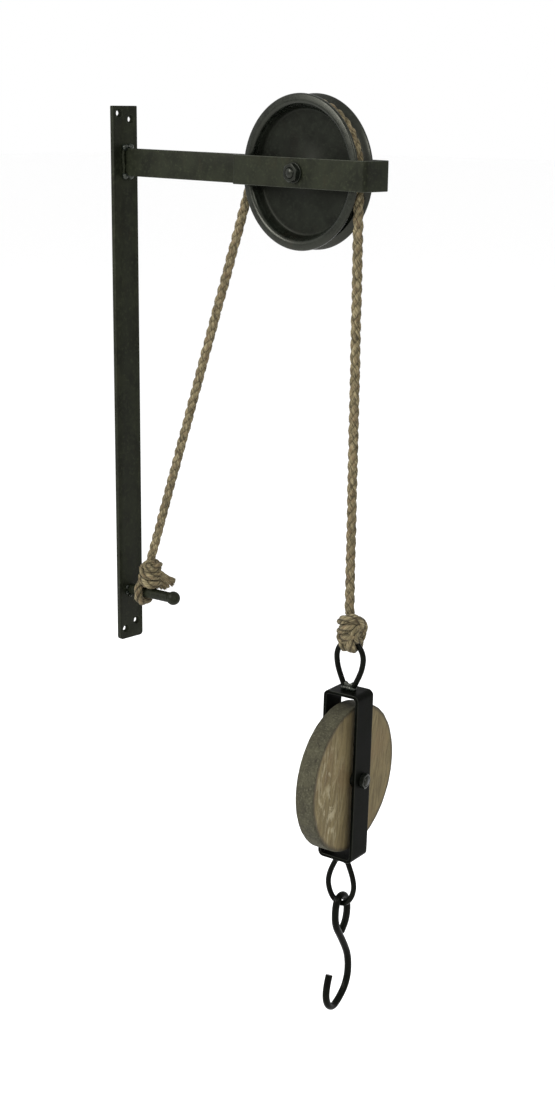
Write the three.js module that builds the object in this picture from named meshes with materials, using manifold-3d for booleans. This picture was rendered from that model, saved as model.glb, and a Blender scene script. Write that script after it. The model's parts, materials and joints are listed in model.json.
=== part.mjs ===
// A wall-mounted pulley hoist: a steel bracket with a grooved sheave in a strap fork, a laid jute rope tied
// off on a peg, and a hanging block with a wooden disc and an S-hook. Millimetres, +Z up. The back plate
// lies on the plane X = 0, +X points away from the wall along the arm, and the sheave's axle runs along Y.
// The origin is the middle of the back plate's rear face.
import * as THREE from 'three';
import { mergeVertices } from 'three/addons/utils/BufferGeometryUtils.js';
import Module from 'manifold-3d';

const wasm = await Module();
wasm.setup();

// ---- driving dimensions ----
const GAP = 0.3; // between two pieces that touch

const PLATE = { width: 35, thick: 5, height: 610, topCorner: 1.2, bottomCorner: 4 };
const SCREW = {
  hole: 5.5, countersink: 9.6, countersinkDepth: 2.8, across: 8.5, fromTop: [8, 14.5], fromBottom: [12, 19],
};
const ARM = { height: 30, thick: 5, z: 241, droop: 0.75 }; // droop in degrees, about the sheave's axle
const FORK = { start: 188.8, end: 370.5, width: 38, strap: 4, bend: 4.5 };

const SHEAVE = {
  x: 277.5, z: 241, hubHalf: 12.25, hubRadius: 14, boreRadius: 8.3, webHalf: 1.5, webRadius: 60.8,
  dish: [[62.4, 2], [63.6, 3.4], [64.6, 5.4], [65.6, 7.9]], // the slope from the web out to the bead
  bead: { r: 71.2, y: 9, radius: 4.8 }, // the rolled bead on the face
  lip: { r: 75.3, y: 11.1, radius: 2.3 }, // the rounded outer edge
  flare: [[77.3, 10.4], [74.4, 7.6]], // from the lip in to the rope's seat
};
const ROPE = { radius: 4.5, pitchRadius: 69.5, grooveRadius: 5.4 };
const AXLE = {
  radius: 5, holeRadius: 5.3, proud: 1.3, nutFlats: 17, nutThick: 5, headThick: 6.4,
  washerRadius: 10.2, washerThick: 1.8, spacerRadius: 11,
};

const PEG = { radius: 6, ballRadius: 8, ballX: 77, z: -246, rise: 2 }; // rise in degrees, toward the ball
const PEG_KNOT = { x: 38, z: -222, radii: [12.5, 11.5, 17.5], loopX: 26.5 };
const ROPE_PEG_END = [39.5, -204]; // where the haul rope leaves its knot, as [x, z]

const BLOCK = { x: SHEAVE.x + ROPE.pitchRadius, turn: 9.2, lean: 1.4 }; // turn and lean in degrees
const KNOT = { top: -206.5, bottom: -232.4, radius: 13.5, loopRadius: 7.5, loopTube: 3.2 };
const FRAME = { top: -290.2, bottom: -479.6, width: 43, depth: 31, strap: 3.8, bend: 6.5 };
const DISC = { radius: 80.5, halfThick: 11, z: -387.5, edge: 1.5, boreRadius: 8 };
const EYE = {
  rod: 3, halfWidth: 16.2, footSpread: 4.3, topZ: -255.5, topRise: 18.5, bottomZ: -512.5, bottomRise: 23.3,
};
const HOOK = { rod: 4, slack: 0.4 }; // slack is the play between the hook and the eye it hangs on

const ROUND = 28; // facets round a small cylinder
const WHEEL_FACETS = 48;
const DISC_FACETS = 72;
const ROPE_SIDES = 4; // curve segments a quarter of the way round a rope or rod
const HAUL_STEPS = 48;
const EYE_STEPS = 44;
const HOOK_STEPS = 64;

// ---- finishes ----
const darkSteel = () => new THREE.MeshStandardMaterial({ color: 0x34362f, roughness: 0.5, metalness: 0.85 });
const nutSteel = () => new THREE.MeshStandardMaterial({ color: 0x2b2e2c, roughness: 0.38, metalness: 0.9 });
const bareSteel = () => new THREE.MeshStandardMaterial({ color: 0x77777a, roughness: 0.35, metalness: 1 });
const jute = () => new THREE.MeshStandardMaterial({ color: 0xa08c66, roughness: 0.95, metalness: 0 });
const oldWood = () => new THREE.MeshStandardMaterial({ color: 0x8a7257, roughness: 0.8, metalness: 0 });

// ---- geometry helpers ----
// Merges the shared corners and turns every face outward.
function closed(geometry) {
  const bare = geometry.clone();
  bare.deleteAttribute('normal');
  bare.deleteAttribute('uv');
  const merged = mergeVertices(bare, 1e-4);
  const position = merged.getAttribute('position');
  const index = merged.getIndex().array;
  const [a, b, c] = [new THREE.Vector3(), new THREE.Vector3(), new THREE.Vector3()];
  let volume = 0;
  const kept = [];
  for (let i = 0; i < index.length; i += 3) {
    const [p, q, r] = [index[i], index[i + 1], index[i + 2]];
    if (p === q || q === r || r === p) continue;
    kept.push(p, q, r);
    a.fromBufferAttribute(position, p);
    b.fromBufferAttribute(position, q);
    c.fromBufferAttribute(position, r);
    volume += a.dot(b.cross(c)) / 6;
  }
  if (volume < 0) {
    for (let i = 0; i < kept.length; i += 3) [kept[i], kept[i + 1]] = [kept[i + 1], kept[i]];
  }
  merged.setIndex(kept);
  return merged;
}

function solid(geometry) {
  const mesh = closed(geometry);
  const vertProperties = new Float32Array(mesh.getAttribute('position').array);
  const triVerts = new Uint32Array(mesh.getIndex().array);
  return new wasm.Manifold(new wasm.Mesh({ numProp: 3, vertProperties, triVerts }));
}

function geometryOf(manifold) {
  const mesh = manifold.getMesh();
  const geometry = new THREE.BufferGeometry();
  geometry.setAttribute('position', new THREE.BufferAttribute(new Float32Array(mesh.vertProperties), 3));
  geometry.setIndex(Array.from(mesh.triVerts));
  geometry.computeVertexNormals();
  return geometry;
}

function cut(geometry, ...tools) {
  return geometryOf(tools.reduce((body, tool) => body.subtract(solid(tool)), solid(geometry)));
}

function join(geometry, ...others) {
  return geometryOf(others.reduce((body, other) => body.add(solid(other)), solid(geometry)));
}

// A cylinder between two points on one of the axes 'x', 'y' or 'z'.
function bar(axis, from, to, radius, facets = ROUND, endRadius = radius) {
  const geometry = new THREE.CylinderGeometry(endRadius, radius, to - from, facets);
  geometry.translate(0, (from + to) / 2, 0);
  if (axis === 'x') geometry.rotateZ(-Math.PI / 2);
  if (axis === 'z') geometry.rotateX(Math.PI / 2);
  return geometry;
}

const hexBar = (axis, from, to, flats) => bar(axis, from, to, flats / Math.sqrt(3), 6);

// A ring round one axis: a washer, spacer or bush.
function ring(axis, from, to, inner, outer, facets = ROUND) {
  const corners = [[inner, from], [outer, from], [outer, to], [inner, to], [inner, from]];
  const geometry = new THREE.LatheGeometry(corners.map(([r, y]) => new THREE.Vector2(r, y)), facets);
  if (axis === 'x') geometry.rotateZ(-Math.PI / 2);
  return geometry;
}

// A round rod along a smooth curve through the points.
function rod(points, radius, sides, steps) {
  const section = new THREE.Shape().absarc(0, 0, radius, 0, Math.PI * 2);
  const path = new THREE.CatmullRomCurve3(points.map((p) => new THREE.Vector3(...p)), false, 'centripetal');
  return new THREE.ExtrudeGeometry(section, { steps, extrudePath: path, curveSegments: sides });
}

function roundedRectangle(path, x0, y0, x1, y1, radii) {
  const [lowLeft, lowRight, highRight, highLeft] = radii;
  const quarter = Math.PI / 2;
  path.absarc(x0 + lowLeft, y0 + lowLeft, lowLeft, 2 * quarter, 3 * quarter);
  path.absarc(x1 - lowRight, y0 + lowRight, lowRight, 3 * quarter, 4 * quarter);
  path.absarc(x1 - highRight, y1 - highRight, highRight, 0, quarter);
  path.absarc(x0 + highLeft, y1 - highLeft, highLeft, quarter, 2 * quarter);
  path.closePath();
  return path;
}

// A flat strap bent into a closed rectangular loop in the XY plane, extruded by depth along Z from 0.
function strapLoop(x0, y0, x1, y1, thick, bend, depth) {
  const shape = roundedRectangle(new THREE.Shape(), x0, y0, x1, y1, Array(4).fill(bend));
  const inner = Math.max(bend - thick, 1);
  const hole = roundedRectangle(
    new THREE.Path(), x0 + thick, y0 + thick, x1 - thick, y1 - thick, Array(4).fill(inner));
  shape.holes.push(hole);
  return new THREE.ExtrudeGeometry(shape, { depth, bevelEnabled: false, curveSegments: 4 });
}

function arc(centreX, centreY, radius, startDegrees, endDegrees, count) {
  return Array.from({ length: count + 1 }, (_, i) => {
    const angle = THREE.MathUtils.degToRad(startDegrees + ((endDegrees - startDegrees) * i) / count);
    return [centreX + radius * Math.cos(angle), centreY + radius * Math.sin(angle)];
  });
}

const eyeTop = EYE.topZ + EYE.topRise; // centre line of the rod at the top of the upper eye
const eyeBottom = EYE.bottomZ - EYE.bottomRise;
const eyeSpan = eyeTop - eyeBottom;
const lean = THREE.MathUtils.degToRad(BLOCK.lean);

const hoist = new THREE.Group();
const hanging = new THREE.Group(); // on the rope's line; its local X is the disc's axis
hanging.position.set(BLOCK.x, 0, 0);
hanging.rotation.z = THREE.MathUtils.degToRad(BLOCK.turn);
hoist.add(hanging);

// The stiff knot holds the block a little off plumb, so it leans about the bend of its upper eye.
const leaning = new THREE.Group();
leaning.position.z = eyeTop;
leaning.rotation.y = lean;
hanging.add(leaning);
const block = new THREE.Group();
block.position.z = -eyeTop;
leaning.add(block);

// The hook hangs plumb from the bend of the lower eye.
const below = new THREE.Group();
below.position.set(-eyeSpan * Math.sin(lean), 0, eyeSpan * (1 - Math.cos(lean)));
hanging.add(below);

function add(group, name, geometry, material) {
  const mesh = new THREE.Mesh(closed(geometry), material);
  mesh.name = name;
  group.add(mesh);
  return mesh;
}

// ---- the bracket: back plate, arm bar, fork ----
function backPlate() {
  const [half, halfHeight] = [PLATE.width / 2, PLATE.height / 2];
  const corners = [PLATE.bottomCorner, PLATE.bottomCorner, PLATE.topCorner, PLATE.topCorner];
  const outline = roundedRectangle(new THREE.Shape(), -half, -halfHeight, half, halfHeight, corners);
  const settings = { depth: PLATE.thick, bevelEnabled: false, curveSegments: 4 };
  const plate = new THREE.ExtrudeGeometry(outline, settings);
  plate.rotateX(Math.PI / 2).rotateZ(Math.PI / 2); // the outline stands in the YZ plane, thick along X
  const tools = [];
  const [top, secondTop] = SCREW.fromTop;
  const [bottom, secondBottom] = SCREW.fromBottom;
  const centres = [
    [-SCREW.across, halfHeight - top], [SCREW.across, halfHeight - secondTop],
    [-SCREW.across, bottom - halfHeight], [SCREW.across, secondBottom - halfHeight],
  ];
  for (const [y, z] of centres) {
    const hole = bar('x', -1, PLATE.thick + 1, SCREW.hole / 2, 16);
    const sinkStart = PLATE.thick - SCREW.countersinkDepth;
    const sink = bar('x', sinkStart, PLATE.thick + 0.01, SCREW.hole / 2, 16, SCREW.countersink / 2);
    tools.push(hole.translate(0, y, z), sink.translate(0, y, z));
  }
  return cut(plate, ...tools);
}

// Turns a piece that was made level about the sheave's axle, by the arm's droop.
function drooped(geometry) {
  geometry.translate(-SHEAVE.x, 0, -SHEAVE.z);
  return geometry.rotateY(THREE.MathUtils.degToRad(ARM.droop)).translate(SHEAVE.x, 0, SHEAVE.z);
}

function armBar() {
  const rootLean = (ARM.height / 2) * Math.sin(THREE.MathUtils.degToRad(ARM.droop));
  const start = PLATE.thick + GAP + rootLean; // so that no corner of the drooped bar enters the plate
  const length = FORK.start - GAP - start;
  const geometry = new THREE.BoxGeometry(length, ARM.thick, ARM.height);
  return drooped(geometry.translate(start + length / 2, 0, ARM.z));
}

function sheaveFork() {
  const half = FORK.width / 2;
  const loop = strapLoop(FORK.start, -half, FORK.end, half, FORK.strap, FORK.bend, ARM.height);
  loop.translate(0, 0, ARM.z - ARM.height / 2);
  return drooped(cut(loop, bar('y', -half - 1, half + 1, AXLE.holeRadius).translate(SHEAVE.x, 0, SHEAVE.z)));
}

add(hoist, 'back_plate', backPlate(), darkSteel());
add(hoist, 'arm_bar', armBar(), darkSteel());
add(hoist, 'sheave_fork', sheaveFork(), darkSteel());

// ---- the peg that the rope is tied off on: a round bar with a ball end ----
// Turns a piece that was made level about the peg's root, so that the ball end rises.
function risen(geometry) {
  geometry.translate(-PLATE.thick, 0, -PEG.z);
  return geometry.rotateY(-THREE.MathUtils.degToRad(PEG.rise)).translate(PLATE.thick, 0, PEG.z);
}

function ropePeg() {
  const rootLean = PEG.radius * Math.sin(THREE.MathUtils.degToRad(PEG.rise));
  const start = PLATE.thick + GAP + rootLean;
  const neck = Math.asin(PEG.radius / PEG.ballRadius);
  const ballCentre = PEG.ballX - start;
  const profile = [[0, 0], [PEG.radius, 0]];
  profile.push(...arc(0, ballCentre, PEG.ballRadius, THREE.MathUtils.radToDeg(neck) - 90, 90, 12));
  profile[profile.length - 1][0] = 0;
  const points = profile.map(([r, y]) => new THREE.Vector2(r, y));
  return risen(new THREE.LatheGeometry(points, 20).rotateZ(-Math.PI / 2).translate(start, 0, PEG.z));
}

add(hoist, 'rope_peg', ropePeg(), darkSteel());

// ---- the sheave, its bush and its axle ----
// The profile as [radius, offset along the axle]: one side from bore to groove, then its mirror image.
function sheaveWheel() {
  const { hubHalf, hubRadius, boreRadius, webHalf, webRadius, dish, bead, lip, flare } = SHEAVE;
  const side = [
    [boreRadius, hubHalf], [hubRadius, hubHalf], [hubRadius, webHalf], [webRadius, webHalf],
    ...dish,
    ...arc(bead.r, bead.y, bead.radius, 168, 90, 4),
    ...arc(lip.r, lip.y, lip.radius, 75, 0, 3),
    ...flare,
    ...arc(ROPE.pitchRadius, 0, ROPE.grooveRadius, 75, 180, 6),
  ];
  const mirrored = side.slice(0, -1).reverse().map(([r, y]) => [r, -y]);
  const profile = [...side, ...mirrored, side[0]].map(([r, y]) => new THREE.Vector2(r, y));
  return new THREE.LatheGeometry(profile, WHEEL_FACETS);
}

const atSheave = (geometry) => geometry.translate(SHEAVE.x, 0, SHEAVE.z);
const forkHalf = FORK.width / 2;
const spacerStart = SHEAVE.hubHalf + GAP;
const spacerEnd = forkHalf - FORK.strap - GAP;
const washerStart = forkHalf + GAP;
const washerEnd = washerStart + AXLE.washerThick;
const nutEnd = washerEnd + GAP + AXLE.nutThick;
const headEnd = washerEnd + GAP + AXLE.headThick;

add(hoist, 'sheave_wheel', atSheave(sheaveWheel()), darkSteel());
const bush = ring('y', -SHEAVE.hubHalf, SHEAVE.hubHalf, AXLE.holeRadius, SHEAVE.boreRadius - GAP);
add(hoist, 'sheave_bush', atSheave(bush), bareSteel());
for (const [name, side] of [['near', -1], ['far', 1]]) {
  const spacer = ring('y', Math.min(side * spacerStart, side * spacerEnd),
    Math.max(side * spacerStart, side * spacerEnd), AXLE.holeRadius, AXLE.spacerRadius);
  add(hoist, `sheave_spacer_${name}`, atSheave(spacer), bareSteel());
  const washer = ring('y', Math.min(side * washerStart, side * washerEnd),
    Math.max(side * washerStart, side * washerEnd), AXLE.holeRadius, AXLE.washerRadius);
  add(hoist, `axle_washer_${name}`, atSheave(washer), nutSteel());
}
const axleShank = bar('y', -nutEnd - AXLE.proud, nutEnd, AXLE.radius);
const axleHead = hexBar('y', washerEnd + GAP, headEnd, AXLE.nutFlats);
add(hoist, 'axle_bolt', atSheave(join(axleShank, axleHead)), nutSteel());
const axleNut = cut(hexBar('y', -nutEnd, -washerEnd - GAP, AXLE.nutFlats),
  bar('y', -nutEnd - 1, -washerEnd, AXLE.holeRadius));
add(hoist, 'axle_nut', atSheave(axleNut), nutSteel());

// ---- the rope: tied on the peg, up to the sheave, over it, and down to the block ----
const [knotX, knotZ] = ROPE_PEG_END;
const [spanX, spanZ] = [SHEAVE.x - knotX, SHEAVE.z - knotZ];
const leaveDegrees = THREE.MathUtils.radToDeg(
  Math.atan2(spanZ, spanX) + Math.asin(ROPE.pitchRadius / Math.hypot(spanX, spanZ)));
// The angle on the sheave where the haul side meets the groove, measured from +X.
const meetDegrees = leaveDegrees + 90;

function haulRoute() {
  const over = arc(SHEAVE.x, SHEAVE.z, ROPE.pitchRadius, meetDegrees, 0, 20);
  const [[meetX, meetZ]] = over;
  const pieces = 12; // points along the straight run
  const straight = Array.from({ length: pieces }, (_, i) => [
    knotX + ((meetX - knotX) * i) / pieces, knotZ + ((meetZ - knotZ) * i) / pieces]);
  return [...straight, ...over].map(([x, z]) => [x, 0, z]);
}

const haulRope = rod(haulRoute(), ROPE.radius, ROPE_SIDES, HAUL_STEPS);
add(hoist, 'rope_haul', haulRope, jute());
const fallRope = bar('z', KNOT.top + GAP, SHEAVE.z - GAP, ROPE.radius, 12).translate(BLOCK.x, 0, 0);
add(hoist, 'rope_fall', fallRope, jute());

// The knot on the peg: a plump hitch above the bar and one turn of rope round it.
function pegKnot() {
  const lump = new THREE.SphereGeometry(1, 14, 10);
  lump.scale(...PEG_KNOT.radii).translate(PEG_KNOT.x, 0, PEG_KNOT.z);
  const turnRadius = PEG.radius + ROPE.radius + 0.6;
  const turn = new THREE.TorusGeometry(turnRadius, ROPE.radius, 8, 20).rotateY(Math.PI / 2);
  risen(turn.translate(PEG_KNOT.loopX, 0, PEG.z));
  const pegRoom = risen(bar('x', PLATE.thick, PEG.ballX, PEG.radius + GAP, 20).translate(0, 0, PEG.z));
  const ropeRoom = rod(haulRoute(), ROPE.radius + GAP, ROPE_SIDES, HAUL_STEPS);
  return cut(join(lump, turn), pegRoom, ropeRoom);
}

// The rope's short free end, its yarns opened out: a flared stub beside the knot.
function ropeTail() {
  const profile = [[0, 0], [4, 0], [4.6, 9], [7.5, 20], [6, 27], [0, 28]];
  const stub = new THREE.LatheGeometry(profile.map(([r, y]) => new THREE.Vector2(r, y)), 12);
  const along = new THREE.Vector3(0.86, -0.3, -0.42).normalize();
  stub.applyQuaternion(new THREE.Quaternion().setFromUnitVectors(new THREE.Vector3(0, 1, 0), along));
  return stub.translate(51.5, -4, -221.5);
}

add(hoist, 'peg_knot', pegKnot(), jute());
add(hoist, 'rope_tail', ropeTail(), jute());

// ---- the hanging block ----
// The knot sits above the upper eye, and one turn of its rope passes through the eye.
function blockKnot() {
  const halfHeight = (KNOT.top - KNOT.bottom) / 2;
  const lump = new THREE.SphereGeometry(1, 14, 10).scale(KNOT.radius, KNOT.radius, halfHeight);
  lump.translate(0, 0, KNOT.bottom + halfHeight);
  const turn = new THREE.TorusGeometry(KNOT.loopRadius, KNOT.loopTube, 8, 20).rotateY(Math.PI / 2);
  turn.translate(0, 0, eyeTop);
  return join(lump, turn);
}

// A pear-shaped rod eye in the XZ plane whose two feet stand side by side on the frame. It is widest at
// wideZ and bends back a rise further on.
function eye(footZ, wideZ, rise, direction) {
  const leg = [[0, 0], [0.1, 1], [2.7, 5.7], [5.5, 11.5], [8.3, 18], [10.5, 24.5]];
  const half = leg.map(([out, up]) => [EYE.footSpread + out, footZ + direction * up]);
  const crown = arc(0, 0, 1, 0, 180, 12).map(([x, z]) => [EYE.halfWidth * x, wideZ + direction * rise * z]);
  const mirrored = half.map(([x, z]) => [-x, z]).reverse();
  return rod([...half, ...crown, ...mirrored].map(([x, z]) => [x, 0, z]), EYE.rod, ROPE_SIDES, EYE_STEPS);
}

function blockFrame() {
  const half = FRAME.width / 2;
  const loop = strapLoop(-half, FRAME.bottom, half, FRAME.top, FRAME.strap, FRAME.bend, FRAME.depth);
  loop.rotateX(Math.PI / 2).translate(0, FRAME.depth / 2, 0); // the loop stands in the XZ plane
  return cut(loop, bar('x', -half - 1, half + 1, AXLE.holeRadius).translate(0, 0, DISC.z));
}

function woodDisc() {
  const { radius, halfThick, edge, boreRadius } = DISC;
  const side = [[boreRadius, halfThick], [radius - edge, halfThick], [radius, halfThick - edge]];
  const mirrored = [...side].reverse().map(([r, y]) => [r, -y]);
  const profile = [...side, ...mirrored, side[0]].map(([r, y]) => new THREE.Vector2(r, y));
  return new THREE.LatheGeometry(profile, DISC_FACETS).rotateZ(-Math.PI / 2);
}

// The S-hook as [across, height, back]: an eye over the lower eye's rod whose end curls behind the shank, a
// curved shank and an open bowl.
function sHook() {
  const top = eyeBottom + EYE.rod + HOOK.rod + HOOK.slack;
  const route = [
    [9.9, -47.5, -4.8], [12.6, -42, -3.8], [14.4, -36, -2.5], [15, -29, -1.3], [14.8, -21.5, -0.4], [13.9, -13.4, 0],
    [11.6, -6.3, 0], [8.4, -1.8, 0], [3.2, 0.5, 0], [-2.2, 0.1, 0], [-6.4, -3.2, 0], [-8.8, -9.6, 0],
    [-9.8, -17.6, 0], [-9.2, -26.5, 0], [-6.6, -34.6, 0], [-1.5, -42.9, 0], [4.6, -52.4, 0], [11.3, -63.7, 0],
    [15.8, -73.3, 0], [18.1, -82.8, 0], [18.6, -91.5, 0], [17.6, -99.7, 0], [14.4, -107.8, 0], [9.9, -113.8, 0],
    [3.7, -118.9, 0], [-4, -123.5, 0], [-10.5, -125.6, 0], [-16, -124.6, 0], [-21.7, -120.2, 0],
    [-25.3, -113, 0], [-26.1, -105.9, 0], [-25.3, -99.9, 0], [-23.6, -93.6, 0], [-20.2, -84.9, 0],
  ];
  return rod(route.map(([across, height, back]) => [back, across, top + height]),
    HOOK.rod, ROPE_SIDES, HOOK_STEPS);
}

const atDisc = (geometry) => geometry.translate(0, 0, DISC.z);
const blockNutStart = FRAME.width / 2 + GAP;
const blockNutEnd = blockNutStart + AXLE.nutThick;
const bushHalf = FRAME.width / 2 - FRAME.strap - GAP;

add(hanging, 'block_knot', blockKnot(), jute());
add(block, 'block_top_eye', eye(FRAME.top + GAP, EYE.topZ, EYE.topRise, 1), darkSteel());
add(block, 'block_frame', blockFrame(), darkSteel());
add(block, 'block_bottom_eye', eye(FRAME.bottom - GAP, EYE.bottomZ, EYE.bottomRise, -1), darkSteel());
add(block, 'wood_disc', atDisc(woodDisc()), oldWood());
const discBush = ring('x', -bushHalf, bushHalf, AXLE.holeRadius, DISC.boreRadius - GAP);
add(block, 'disc_bush', atDisc(discBush), bareSteel());
const blockHeadEnd = blockNutStart + AXLE.headThick;
const blockShank = bar('x', -blockNutStart, blockNutEnd + AXLE.proud, AXLE.radius);
const blockHead = hexBar('x', -blockHeadEnd, -blockNutStart, AXLE.nutFlats);
add(block, 'block_bolt', atDisc(join(blockShank, blockHead)), nutSteel());
const blockNut = cut(hexBar('x', blockNutStart, blockNutEnd, AXLE.nutFlats),
  bar('x', blockNutStart - 1, blockNutEnd + 1, AXLE.holeRadius));
add(block, 'block_nut', atDisc(blockNut), nutSteel());
add(below, 's_hook', sHook(), darkSteel());

export default hoist;
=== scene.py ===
# The looks of the wall-mounted rope pulley hoist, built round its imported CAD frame. Metres, +Z up,
# the wall at X = 0, the arm along +X and the sheave's axle along Y.
import json
import math
import random

import bmesh
import bpy
from mathutils import Matrix, Vector, noise
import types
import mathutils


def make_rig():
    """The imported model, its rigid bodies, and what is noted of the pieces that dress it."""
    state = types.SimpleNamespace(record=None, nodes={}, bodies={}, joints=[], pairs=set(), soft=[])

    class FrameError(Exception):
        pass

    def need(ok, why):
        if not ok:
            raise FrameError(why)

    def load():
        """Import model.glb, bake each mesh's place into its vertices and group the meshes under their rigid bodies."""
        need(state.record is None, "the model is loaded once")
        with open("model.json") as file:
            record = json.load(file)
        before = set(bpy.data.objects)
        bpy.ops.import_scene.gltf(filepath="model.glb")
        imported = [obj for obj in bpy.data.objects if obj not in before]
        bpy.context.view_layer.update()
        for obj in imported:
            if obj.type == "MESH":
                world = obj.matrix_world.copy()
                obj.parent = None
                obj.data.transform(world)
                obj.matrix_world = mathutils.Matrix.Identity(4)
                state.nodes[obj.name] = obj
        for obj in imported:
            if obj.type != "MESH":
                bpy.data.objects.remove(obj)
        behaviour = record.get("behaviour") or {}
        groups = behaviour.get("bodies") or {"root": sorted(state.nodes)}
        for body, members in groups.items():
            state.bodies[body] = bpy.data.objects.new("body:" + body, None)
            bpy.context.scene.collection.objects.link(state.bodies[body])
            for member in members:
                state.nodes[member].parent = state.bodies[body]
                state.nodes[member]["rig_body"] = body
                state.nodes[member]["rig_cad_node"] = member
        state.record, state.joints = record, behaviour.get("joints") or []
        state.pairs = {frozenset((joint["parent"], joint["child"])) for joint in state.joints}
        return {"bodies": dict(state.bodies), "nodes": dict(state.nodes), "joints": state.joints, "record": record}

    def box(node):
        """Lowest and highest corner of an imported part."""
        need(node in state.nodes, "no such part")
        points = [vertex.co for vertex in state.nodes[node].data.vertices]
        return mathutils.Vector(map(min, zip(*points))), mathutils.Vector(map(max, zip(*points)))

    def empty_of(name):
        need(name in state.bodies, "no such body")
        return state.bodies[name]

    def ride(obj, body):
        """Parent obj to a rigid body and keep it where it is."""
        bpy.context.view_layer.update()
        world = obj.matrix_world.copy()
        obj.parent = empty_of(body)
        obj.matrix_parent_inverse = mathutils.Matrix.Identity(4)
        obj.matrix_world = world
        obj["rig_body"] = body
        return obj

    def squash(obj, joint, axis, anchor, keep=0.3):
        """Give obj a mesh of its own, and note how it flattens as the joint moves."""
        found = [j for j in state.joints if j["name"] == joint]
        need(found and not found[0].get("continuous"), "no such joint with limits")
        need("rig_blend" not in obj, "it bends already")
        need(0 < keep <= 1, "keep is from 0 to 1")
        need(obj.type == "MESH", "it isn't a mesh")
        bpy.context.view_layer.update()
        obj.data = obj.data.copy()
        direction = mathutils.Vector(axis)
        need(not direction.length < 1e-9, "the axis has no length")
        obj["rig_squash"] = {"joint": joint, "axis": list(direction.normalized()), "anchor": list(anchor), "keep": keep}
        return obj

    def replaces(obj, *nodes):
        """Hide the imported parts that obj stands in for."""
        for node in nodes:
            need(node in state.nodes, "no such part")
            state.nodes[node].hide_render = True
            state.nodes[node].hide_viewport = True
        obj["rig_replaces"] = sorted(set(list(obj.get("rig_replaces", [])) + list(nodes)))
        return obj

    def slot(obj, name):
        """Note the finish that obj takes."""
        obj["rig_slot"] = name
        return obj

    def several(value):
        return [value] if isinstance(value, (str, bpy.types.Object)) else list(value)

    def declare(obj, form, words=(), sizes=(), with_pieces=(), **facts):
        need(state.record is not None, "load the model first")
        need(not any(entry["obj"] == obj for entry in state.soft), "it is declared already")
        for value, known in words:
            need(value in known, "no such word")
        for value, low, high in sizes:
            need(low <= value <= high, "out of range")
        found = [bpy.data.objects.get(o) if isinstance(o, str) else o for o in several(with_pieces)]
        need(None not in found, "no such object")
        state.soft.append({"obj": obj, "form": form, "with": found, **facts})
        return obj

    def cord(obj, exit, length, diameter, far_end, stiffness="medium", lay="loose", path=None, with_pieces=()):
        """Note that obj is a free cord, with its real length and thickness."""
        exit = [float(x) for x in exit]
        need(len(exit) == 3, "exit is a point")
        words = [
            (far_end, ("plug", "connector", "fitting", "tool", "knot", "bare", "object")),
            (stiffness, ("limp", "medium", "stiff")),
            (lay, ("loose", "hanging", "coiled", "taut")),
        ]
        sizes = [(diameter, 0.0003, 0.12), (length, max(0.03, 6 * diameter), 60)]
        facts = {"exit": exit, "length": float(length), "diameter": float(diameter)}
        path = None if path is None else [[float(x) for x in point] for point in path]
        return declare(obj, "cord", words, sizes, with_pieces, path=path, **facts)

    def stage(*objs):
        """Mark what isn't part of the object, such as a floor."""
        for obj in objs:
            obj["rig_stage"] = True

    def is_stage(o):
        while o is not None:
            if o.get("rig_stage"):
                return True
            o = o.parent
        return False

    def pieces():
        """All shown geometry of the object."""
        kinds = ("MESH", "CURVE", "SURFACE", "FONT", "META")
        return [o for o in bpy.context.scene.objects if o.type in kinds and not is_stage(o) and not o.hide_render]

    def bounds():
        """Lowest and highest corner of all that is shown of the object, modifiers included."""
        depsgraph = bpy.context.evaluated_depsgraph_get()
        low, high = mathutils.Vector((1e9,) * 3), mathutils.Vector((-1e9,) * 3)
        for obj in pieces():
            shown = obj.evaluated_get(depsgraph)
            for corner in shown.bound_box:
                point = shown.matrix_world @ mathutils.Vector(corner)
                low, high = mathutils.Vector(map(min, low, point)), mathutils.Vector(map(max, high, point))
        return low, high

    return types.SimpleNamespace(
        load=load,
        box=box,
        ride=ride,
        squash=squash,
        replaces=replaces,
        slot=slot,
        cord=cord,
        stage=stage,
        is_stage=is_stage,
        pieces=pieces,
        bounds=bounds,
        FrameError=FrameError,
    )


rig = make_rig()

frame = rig.load()
cad_low, cad_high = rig.bounds()

MM = 0.001
UP = Vector((0, 0, 1))

noise.seed_set(1)  # noise_vector's offsets come from this seed, or from the clock where none is set


def add_object(name, data):
    """Puts new data in the scene as an object."""
    made = bpy.data.objects.new(name, data)
    bpy.context.scene.collection.objects.link(made)
    return made


# ---- the camera ----
CAMERA_PLACE = Vector((1.5063, -1.3453, 0.3031))
CAMERA_YAW, CAMERA_PITCH, CAMERA_ROLL = (math.radians(angle) for angle in (43.25, 14.0, 0.45))
CAMERA_LENS = 57.93  # on a sensor 36 mm high


def make_camera():
    back = Vector((math.sin(CAMERA_YAW) * math.cos(CAMERA_PITCH),
                   -math.cos(CAMERA_YAW) * math.cos(CAMERA_PITCH), math.sin(CAMERA_PITCH)))
    level = Vector((math.cos(CAMERA_YAW), math.sin(CAMERA_YAW), 0))
    upright = back.cross(level)
    right = level * math.cos(CAMERA_ROLL) + upright * math.sin(CAMERA_ROLL)
    up = upright * math.cos(CAMERA_ROLL) - level * math.sin(CAMERA_ROLL)
    data = bpy.data.cameras.new("camera")
    data.sensor_fit = "VERTICAL"
    data.sensor_height = 36
    data.lens = CAMERA_LENS
    data.clip_start = 0.05
    camera = add_object("camera", data)
    turn = Matrix((right, up, back)).transposed().to_4x4()
    camera.matrix_world = Matrix.Translation(CAMERA_PLACE) @ turn
    bpy.context.scene.camera = camera
    bpy.context.scene.view_settings.view_transform = "Standard"


make_camera()


# ---- places read from the frame ----
def middle(node):
    low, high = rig.box(node)
    return (low + high) / 2


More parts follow.
